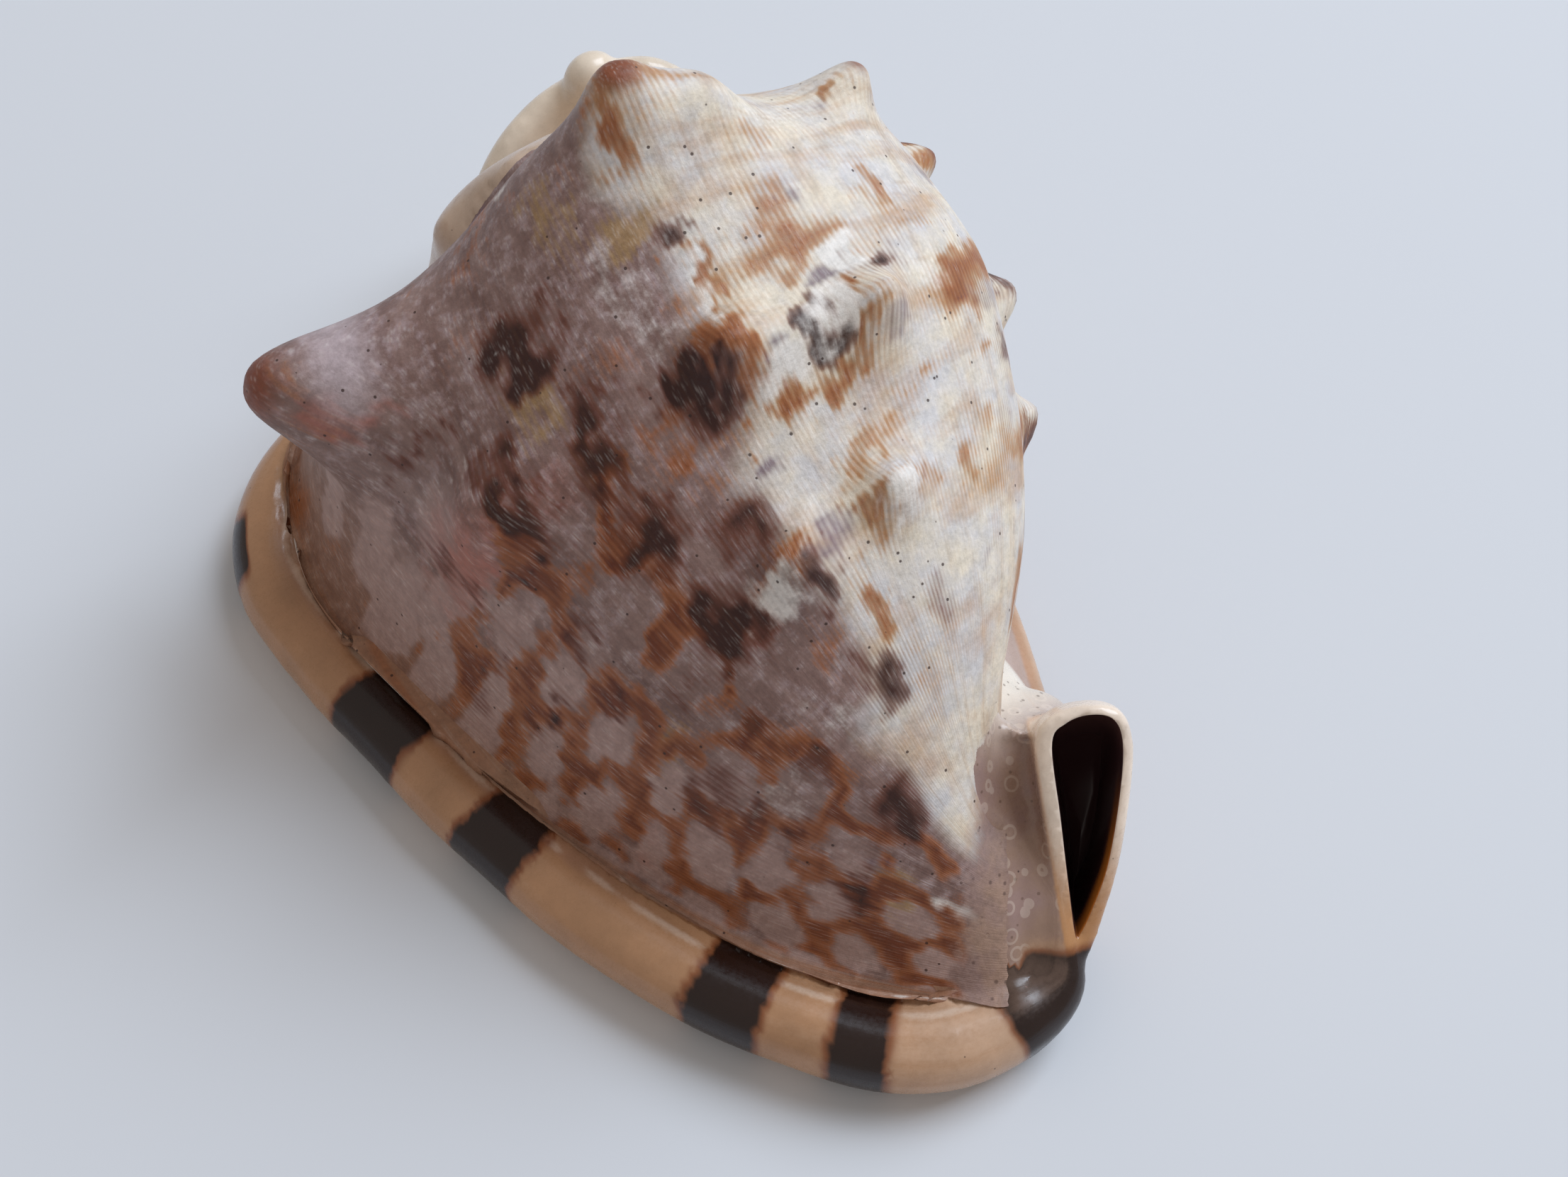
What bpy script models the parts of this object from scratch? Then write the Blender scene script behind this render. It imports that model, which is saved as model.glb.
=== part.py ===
# Horned helmet shell, lying on its opening.
# Metres, +Z up, +Y towards the spire, -Y towards the siphonal canal, -X towards the outer lip.
# Points are given in millimetres from a spot under the shell, and ORIGIN moves them to its middle.
import math

import bpy
import bmesh
import numpy as np

MM = 0.001
ORIGIN = (-2.22, 11.23, 0.0)

# Coiling axis, which climbs towards the spire. The apex is the tip of the spire.
AXIS_RISE = 15.0
AXIS_TURN = 3.0
APEX = (11.0, 75.0, 45.0)

# Each turn is GROWTH times the size of the one before. Angles go round the axis, from the shield
# side (0) over the back (90) to the lip side (180).
GROWTH = 1.75
TURNS = 4.0
LIP_ANGLE = 222.0
RIB_STEP = 5.0
RIB_POINTS = 40

# Rib over the back at 90 degrees, from the suture to the third row of knobs: distance from the
# axis, distance along it from the apex, and how much wider it is on the shield side.
PROFILE = ((22.5, -13.0, 0.00), (32.0, -14.5, 0.02), (39.0, -18.0, 0.04), (42.5, -25.0, 0.06),
           (42.0, -38.0, 0.13), (39.5, -56.0, 0.22), (34.0, -76.0, 0.24))
SHOULDER_TILT = 0.2

# The same rib on the older turns ends in these points, close to the axis.
CORE_END = ((20.0, -88.0), (10.0, -96.0), (4.0, -98.0))

# The last rib, along the inner edge of the rolled lip, from the suture to the canal.
LIP_RIB = ((-8.0, 69.0, 24.0), (-20.0, 75.0, 15.0), (-33.0, 75.0, 10.5), (-44.5, 67.5, 10.0),
           (-52.0, 48.0, 10.0), (-50.0, 24.0, 10.0), (-43.0, -4.0, 10.0), (-28.5, -36.0, 10.0),
           (-9.5, -57.0, 10.0), (0.0, -61.0, 9.0))
LIP_BLEND = 75.0

# Ends of the ribs on the neck, shield side, middle and lip side: the fasciole and the hollow beyond.
FASCIOLE = ((12.5, -32.0, 28.5), (0.0, -45.0, 24.0), (-9.0, -57.0, 10.5))
HOLLOW = ((15.0, -36.0, 26.0), (6.5, -48.5, 18.5), (0.5, -61.0, 9.5))

# Horns, knobs and dips of the last turn: angle, place along the rib, height, half width across
# the ribs, half width along them, and how far the tip leans towards the spire.
HORNS = ((159.0, 0.38, 18.3, 11.0, 9.5, 0.48), (94.0, 0.29, 11.0, 8.0, 7.0, 0.35),
         (80.0, 0.30, 4.5, 8.0, 6.0, 0.2), (46.0, 0.30, 4.5, 6.0, 5.0, 0.3),
         (4.0, 0.35, 8.5, 6.0, 5.5, -0.1), (-30.0, 0.33, 7.0, 8.0, 6.0, 0.2))
KNOBS = ((150.0, 0.53, 4.0, 11.0, 8.0, 0.0), (102.0, 0.54, 4.5, 8.0, 7.0, 0.0),
         (73.0, 0.565, 4.0, 8.0, 6.5, 0.0), (5.0, 0.58, 5.0, 8.0, 6.5, 0.0),
         (108.0, 0.68, 4.0, 8.0, 7.0, 0.0), (84.0, 0.68, 3.5, 7.0, 6.0, 0.0),
         (5.0, 0.70, 4.0, 8.0, 6.0, 0.0), (-30.0, 0.58, 4.0, 8.0, 6.0, 0.0))
DIPS = ((140.0, 0.22, -7.5, 20.0, 22.0, 0.6), (166.0, 0.14, -6.5, 16.0, 16.0, 1.0),
        (62.0, 0.24, -3.0, 9.0, 9.0, 0.0))

# Small regular knobs round the shoulder of the older turns.
SPIRE_KNOBS = 9
SPIRE_KNOB_HEIGHT = 1.4
SPIRE_NARROWER = 0.09

# Rolled lip: centres of its edge from the spire round to the front corner, and the radius there.
LIP = ((-9.0, 77.0, 9.0, 5.5), (-21.0, 76.0, 8.0, 6.0), (-34.0, 73.0, 6.5, 6.0),
       (-47.0, 67.0, 6.0, 6.0), (-54.0, 57.0, 6.0, 6.0), (-55.0, 43.0, 6.0, 6.0),
       (-52.5, 24.0, 6.0, 6.0), (-48.5, 1.0, 6.0, 6.0), (-41.5, -23.0, 6.0, 6.0),
       (-30.5, -44.0, 6.0, 6.0), (-17.0, -58.5, 6.0, 6.0), (-4.5, -61.5, 6.2, 6.0),
       (2.0, -61.3, 8.0, 4.4), (4.8, -58.6, 11.5, 2.4), (7.3, -53.5, 17.0, 1.2))

# Neck between the body and the spout: centres and radius.
NECK = ((14.0, -20.0, 6.0, 7.0), (13.5, -36.0, 13.0, 9.0), (8.5, -46.0, 11.5, 9.0),
        (1.0, -57.5, 4.0, 7.0))

# Collar where the lip and the shield meet behind the spire: its top edge and half its thickness.
COLLAR = ((-21.0, 76.0, 12.0, 5.0), (-8.0, 78.5, 19.0, 4.0), (0.0, 82.0, 27.0, 3.5),
          (7.0, 85.0, 33.5, 3.2), (14.0, 86.5, 37.0, 3.2), (21.0, 86.0, 39.5, 3.2),
          (28.0, 83.5, 41.0, 3.2), (34.0, 79.5, 40.0, 3.2), (41.0, 73.0, 31.0, 3.2),
          (47.0, 63.0, 15.0, 3.0))

# Rounded lumps of callus: centre and half axes. The first two fill the trough between the
# collar and the spire, the next two join the shield to the neck and the spout, and
# the last is a bead on the collar's edge.
CALLUS = ((16.0, 64.0, 16.0, 32.0, 20.0, 20.0), (-14.0, 61.0, 12.0, 27.0, 17.0, 18.0),
          (8.0, -22.0, 10.0, 17.0, 26.0, 15.0), (15.5, -38.0, 10.0, 9.0, 13.0, 16.0),
          (23.5, 84.5, 39.4, 4.6, 3.6, 4.6))

# Shield on the underside: edge points in plan, and how its edge turns up and its top is domed
# (share of the way in from the edge, height).
SHIELD = ((8.0, 85.0), (25.0, 83.0), (39.0, 74.0), (47.5, 60.0), (50.0, 42.0), (47.0, 20.0),
          (38.5, -2.0), (32.0, -20.0), (24.5, -36.0), (12.0, -52.0), (0.0, -60.0), (-14.0, -56.0),
          (-34.0, -32.0), (-46.0, 0.0), (-51.0, 30.0), (-49.0, 60.0), (-36.0, 75.0), (-10.0, 81.0))
SHIELD_SECTION = ((0.30, -2.0), (0.12, -0.4), (0.03, 0.8), (0.0, 2.6), (0.015, 4.6), (0.05, 5.4),
                  (0.11, 6.6), (0.2, 11.0), (0.34, 19.0), (0.6, 26.0))

# Spout of the siphonal canal: the foot of its opening, the way the opening runs up and the way it
# faces. Its rim and the hollow inside are given across and along the opening.
SPOUT_FOOT = (5.5, -62.5, 8.5)
SPOUT_SPINE = (0.281, 0.625, 0.729)
SPOUT_FACING = (-0.427, -0.599, 0.678)
SPOUT_MIDDLE = (3.5, 9.0)
SPOUT_RIM = ((-1.4, 1.0), (-2.8, 8.0), (-3.1, 22.0), (-3.1, 34.5), (-0.6, 38.2), (4.0, 39.2),
             (8.4, 38.0), (9.8, 33.5), (9.0, 26.5), (6.8, 16.5), (3.8, 8.0), (0.8, 1.5))
SPOUT_HOLLOW = ((-0.1, 7.0), (-0.4, 14.0), (-0.6, 24.0), (-0.8, 34.5), (1.2, 37.2), (4.5, 38.0),
                (7.4, 36.9), (8.2, 33.0), (7.0, 25.0), (4.8, 16.0), (2.2, 9.8), (0.4, 6.6))

# Slit of the aperture between the lip and the shield: points in plan and half widths.
SLIT = ((-20.0, 66.0, 3.0), (-25.0, 52.0, 5.0), (-27.0, 34.0, 5.5), (-25.0, 14.0, 5.5),
        (-20.0, -6.0, 5.0), (-12.5, -24.0, 4.2), (-4.0, -39.0, 3.4), (4.0, -51.0, 2.4),
        (9.0, -60.0, 2.0), (12.0, -68.0, 2.6))
SLIT_DEPTH = 20.0
SLIT_FLARE = 3.2
TEETH = 8
FOLDS = 12

VOXEL = 1.1
FACES = 9300


def make_frame():
    rise, turn = math.radians(AXIS_RISE), math.radians(AXIS_TURN)
    along = np.array((math.sin(turn) * math.cos(rise), math.cos(turn) * math.cos(rise),
                      math.sin(rise)))
    right = np.array((math.cos(turn), -math.sin(turn), 0.0))
    return along, right, np.cross(right, along)


ALONG, RIGHT, UP = make_frame()


def ease(x):
    x = min(max(x, 0.0), 1.0)
    return x * x * (3 - 2 * x)


def curve(points, t):
    # Smooth curve through evenly counted points, t from 0 to 1.
    points = np.asarray(points, float)
    last = len(points) - 1
    slope = np.gradient(points, axis=0)
    x = np.clip(np.asarray(t, float), 0, 1) * last
    i = np.clip(np.floor(x).astype(int), 0, last - 1)
    f = (x - i)[..., None]
    start = (2 * f**3 - 3 * f**2 + 1) * points[i] + (f**3 - 2 * f**2 + f) * slope[i]
    end = (3 * f**2 - 2 * f**3) * points[i + 1] + (f**3 - f**2) * slope[i + 1]
    return start + end


def closed_curve(points, count):
    # The same through a closed outline, with its slopes carried round the join.
    n = len(points)
    ring = np.array([points[(i - 2) % n] for i in range(n + 5)], float)
    return curve(ring, (2 + np.arange(count) * n / count) / (n + 4))


def radial(angle):
    a = math.radians(angle)
    return RIGHT * math.cos(a) + UP * math.sin(a)


def growth(angle):
    return GROWTH ** ((angle - 90) / 360)


def rib(angle):
    # Control points of the growth line at this angle, from the suture to the hollow of the neck.
    size = growth(angle)
    cosine = math.cos(math.radians(angle))
    last_turn = angle > LIP_ANGLE - 360
    side = max(math.cos(math.radians(angle - 12)), 0.0) ** 1.5 if last_turn else 0.0
    waist = 1 - SPIRE_NARROWER * ease((LIP_ANGLE - 345 - angle) / 60)
    points = []
    for r, h, wider in PROFILE:
        tilt = -SHOULDER_TILT * cosine * r * size * min(max((80 + h) / 66, 0), 1)
        out = radial(angle) * r * size * waist * (1 + wider * side)
        points.append(np.array(APEX) + ALONG * (h * size + tilt) + out)
    if not last_turn:
        for r, h in CORE_END:
            points.append(np.array(APEX) + (ALONG * h + radial(angle) * r) * size)
        return np.array(points)
    span = (angle - 15) / (LIP_ANGLE - 15)
    fasciole, hollow = curve(FASCIOLE, span), curve(HOLLOW, span)
    low = points[-1] * 0.52 + fasciole * 0.48 + radial(angle) * 3.0 * size
    points += [low, fasciole, hollow]
    blend = ease((angle - LIP_ANGLE + LIP_BLEND) / LIP_BLEND)
    return np.array(points) * (1 - blend) + np.array(LIP_RIB) * blend


def raise_spot(angles, grid, spot, shape):
    # Push the grid out, or in, round one spot of the last turn.
    angle, place, height, across, along, lean = spot
    row = min(max((angle - angles[0]) / RIB_STEP, 0), len(angles) - 1.001)
    low = int(row)
    peak = curve(grid[low] * (1 - row + low) + grid[low + 1] * (row - low), np.array([place]))[0]
    lengthwise = (grid - peak) @ ALONG
    crosswise = np.sqrt(np.maximum(((grid - peak) ** 2).sum(-1) - lengthwise ** 2, 0))
    distance = np.sqrt((lengthwise / along) ** 2 + (crosswise / across) ** 2)
    same_turn = np.exp(-((angles - angle) / 70.0) ** 4)[:, None]
    push = height * shape(distance) * same_turn
    return grid + push[..., None] * (radial(angle) + ALONG * lean)


def cone(distance):
    return (1.0 + distance ** 2) ** -1.5


def bell(distance):
    return np.exp(-distance ** 2)


def raise_spire(angles, grid, share):
    # Regular knobs along the shoulder of the older turns.
    moved = grid.copy()
    on_shoulder = np.exp(-((share - 0.31) / 0.07) ** 2)
    for i, angle in enumerate(angles):
        older = ease((LIP_ANGLE - 330 - angle) / 40)
        wave = 0.5 + 0.5 * math.cos(math.radians(angle * SPIRE_KNOBS))
        push = SPIRE_KNOB_HEIGHT * growth(angle + 360) * older * wave ** 2
        moved[i] += (push * on_shoulder)[:, None] * (radial(angle) + ALONG * 0.3)
    return moved


def body_surface():
    # Grid of points, one row for each rib, oldest first.
    count = int(round(360 * TURNS / RIB_STEP))
    angles = LIP_ANGLE - RIB_STEP * np.arange(count, -1, -1)
    share = np.linspace(0, 1, RIB_POINTS)
    grid = np.array([curve(rib(a), share) for a in angles])
    for spot in DIPS:
        grid = raise_spot(angles, grid, spot, bell)
    for spot in HORNS + KNOBS:
        grid = raise_spot(angles, grid, spot, cone)
    return angles, raise_spire(angles, grid, share)


def add_object(name, mesh, collection):
    thing = bpy.data.objects.new(name, mesh)
    collection.objects.link(thing)
    return thing


def make_mesh(name, verts, faces):
    mesh = bpy.data.meshes.new(name)
    mesh.from_pydata([tuple((v - ORIGIN) * MM) for v in verts], [], faces)
    work = bmesh.new()
    work.from_mesh(mesh)
    bmesh.ops.recalc_face_normals(work, faces=work.faces)
    work.to_mesh(mesh)
    work.free()
    return mesh


def loft(name, rings):
    # Closed skin over a row of rings with equal counts, with a fan over each end.
    n = len(rings[0])
    verts = np.concatenate(list(rings) + [rings[0].mean(0)[None], rings[-1].mean(0)[None]])
    faces = []
    for k in range(len(rings) - 1):
        for i in range(n):
            j = (i + 1) % n
            faces.append((k * n + i, k * n + j, (k + 1) * n + j, (k + 1) * n + i))
    start, end = len(rings) * n, len(rings) * n + 1
    for i in range(n):
        j = (i + 1) % n
        faces.append((start, j, i))
        faces.append((end, start - n + i, start - n + j))
    return make_mesh(name, verts, faces)


def make_body():
    # Each rib is closed through the core, so that every turn is a solid wedge.
    angles, grid = body_surface()
    rings = []
    for angle, row in zip(angles, grid):
        size = growth(angle)
        core = [np.array(APEX) + (ALONG * h + radial(angle) * 0.6) * size
                for h in (-95.0, -60.0, -9.0)]
        if angle > LIP_ANGLE - 360:
            core[0], core[1] = np.array((6.0, -44.0, 8.0)), np.array((5.0, -20.0, 16.0))
        rings.append(np.concatenate([row, np.array(core)]))
    rings.append(rings[-1] * (1.0, 1.0, 0.1))
    return loft("body", rings)


def make_tube(name, path, collection):
    # Curve through the points with a radius at each, made into a mesh with welded caps.
    data = bpy.data.curves.new(name, "CURVE")
    data.dimensions = "3D"
    data.resolution_u = 10
    data.bevel_depth = MM
    data.bevel_resolution = 4
    data.use_fill_caps = True
    spline = data.splines.new("BEZIER")
    spline.bezier_points.add(len(path) - 1)
    for point, (x, y, z, radius) in zip(spline.bezier_points, path):
        point.co = (np.array((x, y, z)) - ORIGIN) * MM
        point.radius = radius
        point.handle_left_type = "AUTO"
        point.handle_right_type = "AUTO"
    thing = add_object(name, data, collection)
    depsgraph = bpy.context.evaluated_depsgraph_get()
    mesh = bpy.data.meshes.new_from_object(thing.evaluated_get(depsgraph))
    bpy.data.objects.remove(thing)
    work = bmesh.new()
    work.from_mesh(mesh)
    bmesh.ops.remove_doubles(work, verts=work.verts, dist=0.01 * MM)
    bmesh.ops.recalc_face_normals(work, faces=work.faces)
    work.to_mesh(mesh)
    work.free()
    return mesh


def make_lump(centre, axes):
    mesh = bpy.data.meshes.new("callus")
    work = bmesh.new()
    bmesh.ops.create_uvsphere(work, u_segments=32, v_segments=20, radius=MM)
    bmesh.ops.scale(work, vec=axes, verts=work.verts)
    bmesh.ops.translate(work, vec=(np.array(centre) - ORIGIN) * MM, verts=work.verts)
    work.to_mesh(mesh)
    work.free()
    return mesh


def make_shield():
    edge = closed_curve(SHIELD, 72)
    middle = edge.mean(0)
    rings = []
    for inset, height in SHIELD_SECTION:
        ring = edge + (middle - edge) * inset
        rings.append(np.column_stack([ring, np.full(len(ring), height)]))
    return loft("shield", rings)


def make_collar():
    # A wall from the underside up to the collar's edge, rounded on top.
    path = np.array(COLLAR)
    share = np.linspace(0, 1, 60)
    points, halves = curve(path[:, :3], share), curve(path[:, 3:], share)[:, 0]
    rings = []
    for point, half, way in zip(points, halves, np.gradient(points[:, :2], axis=0)):
        out = np.array((-way[1], way[0])) / np.linalg.norm(way)
        top = point[2]
        section = ((-14.0, 1.5), (half - 6.0, 1.5), (half - 2.5, 0.12 * top),
                   (half - 1.2, 0.4 * top), (half, top - half), (0.6 * half, top - 0.3 * half),
                   (0.0, top), (-0.6 * half, top - 0.3 * half), (-half, top - half),
                   (-half - 1.5, 0.75 * top), (-half - 5.0, 0.5 * top), (-14.0, 0.35 * top))
        rings.append(np.array([np.append(point[:2] + out * a, z) for a, z in section]))
    return loft("collar", rings)


def spout_ring(outline, grow, back, narrow):
    # An outline of the spout, grown, moved back from the opening and drawn together.
    edge = closed_curve(outline, 60)
    way = np.roll(edge, -1, axis=0) - np.roll(edge, 1, axis=0)
    out = np.column_stack([-way[:, 1], way[:, 0]]) / np.linalg.norm(way, axis=1)[:, None]
    middle = np.array(SPOUT_MIDDLE)
    flat = middle + (edge + out * grow - middle) * narrow
    spine, facing = np.array(SPOUT_SPINE), np.array(SPOUT_FACING)
    across = np.cross(spine, facing)
    return np.array(SPOUT_FOOT) + flat[:, :1] * across + flat[:, 1:] * spine - facing * back


def make_spout():
    steps = ((-0.9, -0.5, 1.0), (-0.35, -0.4, 1.0), (0.0, 0.3, 1.0), (0.2, 4.0, 0.96),
             (0.3, 8.0, 0.91), (0.4, 12.0, 0.84), (0.4, 16.0, 0.74), (0.4, 19.0, 0.5))
    return loft("spout", [spout_ring(SPOUT_RIM, *step) for step in steps])


def make_pocket():
    steps = ((0.7, -3.0, 1.0), (0.0, 0.0, 1.0), (0.0, 5.0, 0.93), (0.0, 9.0, 0.84),
             (0.0, 13.0, 0.68), (0.0, 15.0, 0.4))
    return loft("pocket", [spout_ring(SPOUT_HOLLOW, *step) for step in steps])


def make_slit():
    # The lip side of the slit is scalloped by its teeth, and the shield side by finer folds.
    path = np.array(SLIT)
    share = np.linspace(0, 1, 100)
    centres, widths = curve(path[:, :2], share), curve(path[:, 2:], share)[:, 0]
    rings = []
    for s, centre, half, way in zip(share, centres, widths, np.gradient(centres, axis=0)):
        across = np.array((way[1], -way[0])) / np.linalg.norm(way)
        depth = SLIT_DEPTH * min(1.0, 0.3 + 1.2 * min(2 * s, 1 - s))
        toothed = ease(6 * s) * ease(6 * (0.85 - s))
        tooth = 1 - 0.35 * toothed * (0.5 + 0.5 * math.cos(2 * math.pi * TEETH * s / 0.85))
        fold = 1 - 0.25 * toothed * (0.5 + 0.5 * math.cos(2 * math.pi * FOLDS * s / 0.85))
        low, high = 0.75 * SLIT_FLARE + 0.25 * depth, 0.35 * SLIT_FLARE + 0.65 * depth
        section = ((-2.1, -3.0), (2.1, -3.0), (1.5, 0.8), (fold, SLIT_FLARE), (1.0, low),
                   (1.1, high), (0.7, depth), (-0.9, depth), (-1.3, high), (-1.0, low),
                   (-tooth, SLIT_FLARE), (-1.5, 0.8))
        rings.append(np.array([np.append(centre - across * a * half, z) for a, z in section]))
    return loft("slit", rings)


def make_floor():
    mesh = bpy.data.meshes.new("floor")
    work = bmesh.new()
    bmesh.ops.create_cube(work, size=1.0)
    bmesh.ops.scale(work, vec=(0.4, 0.4, 0.05), verts=work.verts)
    bmesh.ops.translate(work, vec=(0.0, 0.0, -0.025), verts=work.verts)
    work.to_mesh(mesh)
    work.free()
    return mesh


def make_material():
    material = bpy.data.materials.new("helmet_shell")
    material.use_nodes = True
    shader = material.node_tree.nodes["Principled BSDF"]
    shader.inputs["Base Color"].default_value = (0.42, 0.30, 0.24, 1.0)
    shader.inputs["Roughness"].default_value = 0.38
    shader.inputs["Metallic"].default_value = 0.0
    return material


def modify(thing, kind, **settings):
    step = thing.modifiers.new(kind.lower(), kind)
    for name, value in settings.items():
        setattr(step, name, value)


def join(name, meshes):
    mesh = bpy.data.meshes.new(name)
    work = bmesh.new()
    for piece in meshes:
        work.from_mesh(piece)
        bpy.data.meshes.remove(piece)
    work.to_mesh(mesh)
    work.free()
    return mesh


def new_collection(name):
    collection = bpy.data.collections.new(name)
    bpy.context.scene.collection.children.link(collection)
    return collection


def main():
    for thing in list(bpy.data.objects):
        bpy.data.objects.remove(thing)
    parts, cutters = new_collection("Horned helmet shell"), new_collection("Cutters")
    pieces = [make_body(), make_tube("lip", LIP, parts), make_tube("neck", NECK, parts),
              make_collar(), make_shield(), make_spout()]
    pieces += [make_lump(lump[:3], lump[3:]) for lump in CALLUS]
    shell = add_object("helmet_shell", join("helmet_shell", pieces), parts)
    shell.data.materials.append(make_material())
    slit = add_object("slit_cutter", make_slit(), cutters)
    pocket = add_object("pocket_cutter", make_pocket(), cutters)
    floor = add_object("floor_cutter", make_floor(), cutters)
    modify(shell, "REMESH", mode="VOXEL", voxel_size=VOXEL * MM)
    modify(shell, "SMOOTH", factor=0.5, iterations=7)
    modify(shell, "BOOLEAN", operation="DIFFERENCE", object=slit)
    modify(shell, "BOOLEAN", operation="DIFFERENCE", object=pocket)
    whole = shell.evaluated_get(bpy.context.evaluated_depsgraph_get()).data
    modify(shell, "DECIMATE", ratio=FACES / (2 * len(whole.polygons)))
    modify(shell, "BOOLEAN", operation="DIFFERENCE", object=floor)
    for cutter in (slit, pocket, floor):
        cutter.hide_render = True
        cutter.display_type = "WIRE"


main()
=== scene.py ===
# Horned helmet shell lying on its opening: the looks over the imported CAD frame.
# Metres, Z up, Y towards the spire. Lengths in the settings are millimetres from a spot under
# the shell, and toMetres moves them into the frame.
import math

import bmesh
import bpy
import numpy as np
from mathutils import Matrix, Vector
from mathutils.bvhtree import BVHTree
from mathutils.interpolate import poly_3d_calc


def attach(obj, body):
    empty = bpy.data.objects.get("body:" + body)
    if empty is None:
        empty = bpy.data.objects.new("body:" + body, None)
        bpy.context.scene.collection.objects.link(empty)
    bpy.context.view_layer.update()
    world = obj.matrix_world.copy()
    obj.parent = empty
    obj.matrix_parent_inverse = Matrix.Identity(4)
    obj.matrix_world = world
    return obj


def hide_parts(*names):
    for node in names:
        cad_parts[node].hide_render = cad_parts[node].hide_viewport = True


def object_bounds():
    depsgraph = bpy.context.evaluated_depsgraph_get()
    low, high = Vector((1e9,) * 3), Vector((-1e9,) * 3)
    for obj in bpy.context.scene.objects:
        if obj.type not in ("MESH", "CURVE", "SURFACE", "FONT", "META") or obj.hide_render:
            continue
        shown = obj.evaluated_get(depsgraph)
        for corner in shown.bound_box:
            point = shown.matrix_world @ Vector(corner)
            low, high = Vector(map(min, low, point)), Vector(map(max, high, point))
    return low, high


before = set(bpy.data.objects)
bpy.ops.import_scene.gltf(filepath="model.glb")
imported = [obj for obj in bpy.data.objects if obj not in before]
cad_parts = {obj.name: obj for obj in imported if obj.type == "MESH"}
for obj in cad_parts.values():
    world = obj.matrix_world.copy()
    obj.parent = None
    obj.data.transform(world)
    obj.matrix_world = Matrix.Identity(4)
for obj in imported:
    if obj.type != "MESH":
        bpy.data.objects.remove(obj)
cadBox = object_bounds()
mm = 0.001
origin = np.array((-2.22, 11.23, 0.0))
scene = bpy.context.scene
print("frame loaded")


def toMetres(points):
    return (np.asarray(points, float) - origin) * mm


def ease(x):
    x = np.clip(x, 0.0, 1.0)
    return x * x * (3 - 2 * x)


def smoothCurve(points, t):
    # Smooth curve through evenly counted points, t from 0 to 1.
    points = np.asarray(points, float)
    last = len(points) - 1
    slope = np.gradient(points, axis=0)
    x = np.clip(np.asarray(t, float), 0, 1) * last
    i = np.clip(np.floor(x).astype(int), 0, last - 1)
    f = (x - i)[..., None]
    start = (2 * f**3 - 3 * f**2 + 1) * points[i] + (f**3 - 2 * f**2 + f) * slope[i]
    end = (3 * f**2 - 2 * f**3) * points[i + 1] + (f**3 - f**2) * slope[i + 1]
    return start + end


def closedCurve(points, count):
    n = len(points)
    ring = np.array([points[(i - 2) % n] for i in range(n + 5)], float)
    return smoothCurve(ring, (2 + np.arange(count) * n / count) / (n + 4))


# Growth of the whorl.
whorl = {
    "axisRise": 15.0, "axisTurn": 3.0, "apex": (11.0, 75.0, 45.0),
    "growthPerTurn": 1.75, "turns": 4.0, "lipAngle": 222.0, "lipBlend": 75.0,
    "ridgeStep": 1.25,          # degrees between growth ridges, 0.9 mm on the back
    "ridgedFrom": -32.0,        # older growth is under the shield and stays plain
    "ribRows": 138, "shoulderTilt": 0.2,
    # rib over the back: distance from the axis, distance along it, wider on the shield side
    "profile": ((22.5, -13.0, 0.00), (32.0, -14.5, 0.02), (39.0, -18.0, 0.04), (42.5, -25.0, 0.06),
                (42.0, -38.0, 0.13), (39.5, -56.0, 0.22), (34.0, -76.0, 0.24)),
    "coreEnd": ((20.0, -88.0), (10.0, -96.0), (4.0, -98.0)),
    "lipRib": ((-8, 69, 24), (-20, 75, 15), (-33, 75, 10.5), (-44.5, 67.5, 10), (-52, 48, 10),
               (-50, 24, 10), (-43, -4, 10), (-28.5, -36, 10), (-9.5, -57, 10), (0, -61, 9)),
    "fasciole": ((12.5, -32.0, 28.5), (0.0, -45.0, 24.0), (-9.0, -57.0, 10.5)),
    "hollow": ((15.0, -36.0, 26.0), (6.5, -48.5, 18.5), (0.5, -61.0, 9.5)),
    # angle, place along the rib, height, half width across, half width along, lean
    "horns": ((159, 0.38, 16.6, 10.5, 9, 0.48), (94, 0.29, 10.4, 6.5, 6.2, 0.35),
              (80, 0.30, 4.5, 6, 5.5, 0.2), (46, 0.30, 6.2, 4.8, 4.2, 0.3),
              (4, 0.35, 8.2, 5, 4.6, -0.1), (-30, 0.33, 7, 8, 6, 0.2)),
    "knobs": ((150, 0.53, 5, 9, 6.5, 0), (99, 0.542, 9.5, 5, 4.2, 0), (73, 0.565, 7.5, 5, 4.4, 0),
              (88, 0.548, 2.6, 6, 3.2, 0),
              (5, 0.58, 7.6, 5.5, 4.6, 0), (108, 0.68, 8, 5.2, 4.6, 0), (84, 0.68, 6.6, 4.6, 4, 0),
              (5, 0.70, 6.6, 5.5, 4.4, 0), (-30, 0.58, 5.5, 7, 5, 0), (-30, 0.7, 4.5, 7, 5, 0)),
    "dips": ((140, 0.22, -7.5, 20, 22, 0.6), (166, 0.14, -6.5, 16, 16, 1.0), (62, 0.24, -3, 9, 9, 0),
             (8, 0.62, -2.6, 16, 24, 0), (88, 0.6, -1.5, 26, 14, 0)),
    "spireKnobs": 9, "spireKnobHeight": 1.4, "spireNarrower": 0.09,
}
rise, turn = math.radians(whorl["axisRise"]), math.radians(whorl["axisTurn"])
axisAlong = np.array((math.sin(turn) * math.cos(rise), math.cos(turn) * math.cos(rise), math.sin(rise)))
axisRight = np.array((math.cos(turn), -math.sin(turn), 0.0))
axisUp = np.cross(axisRight, axisAlong)
apex = np.array(whorl["apex"])


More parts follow.
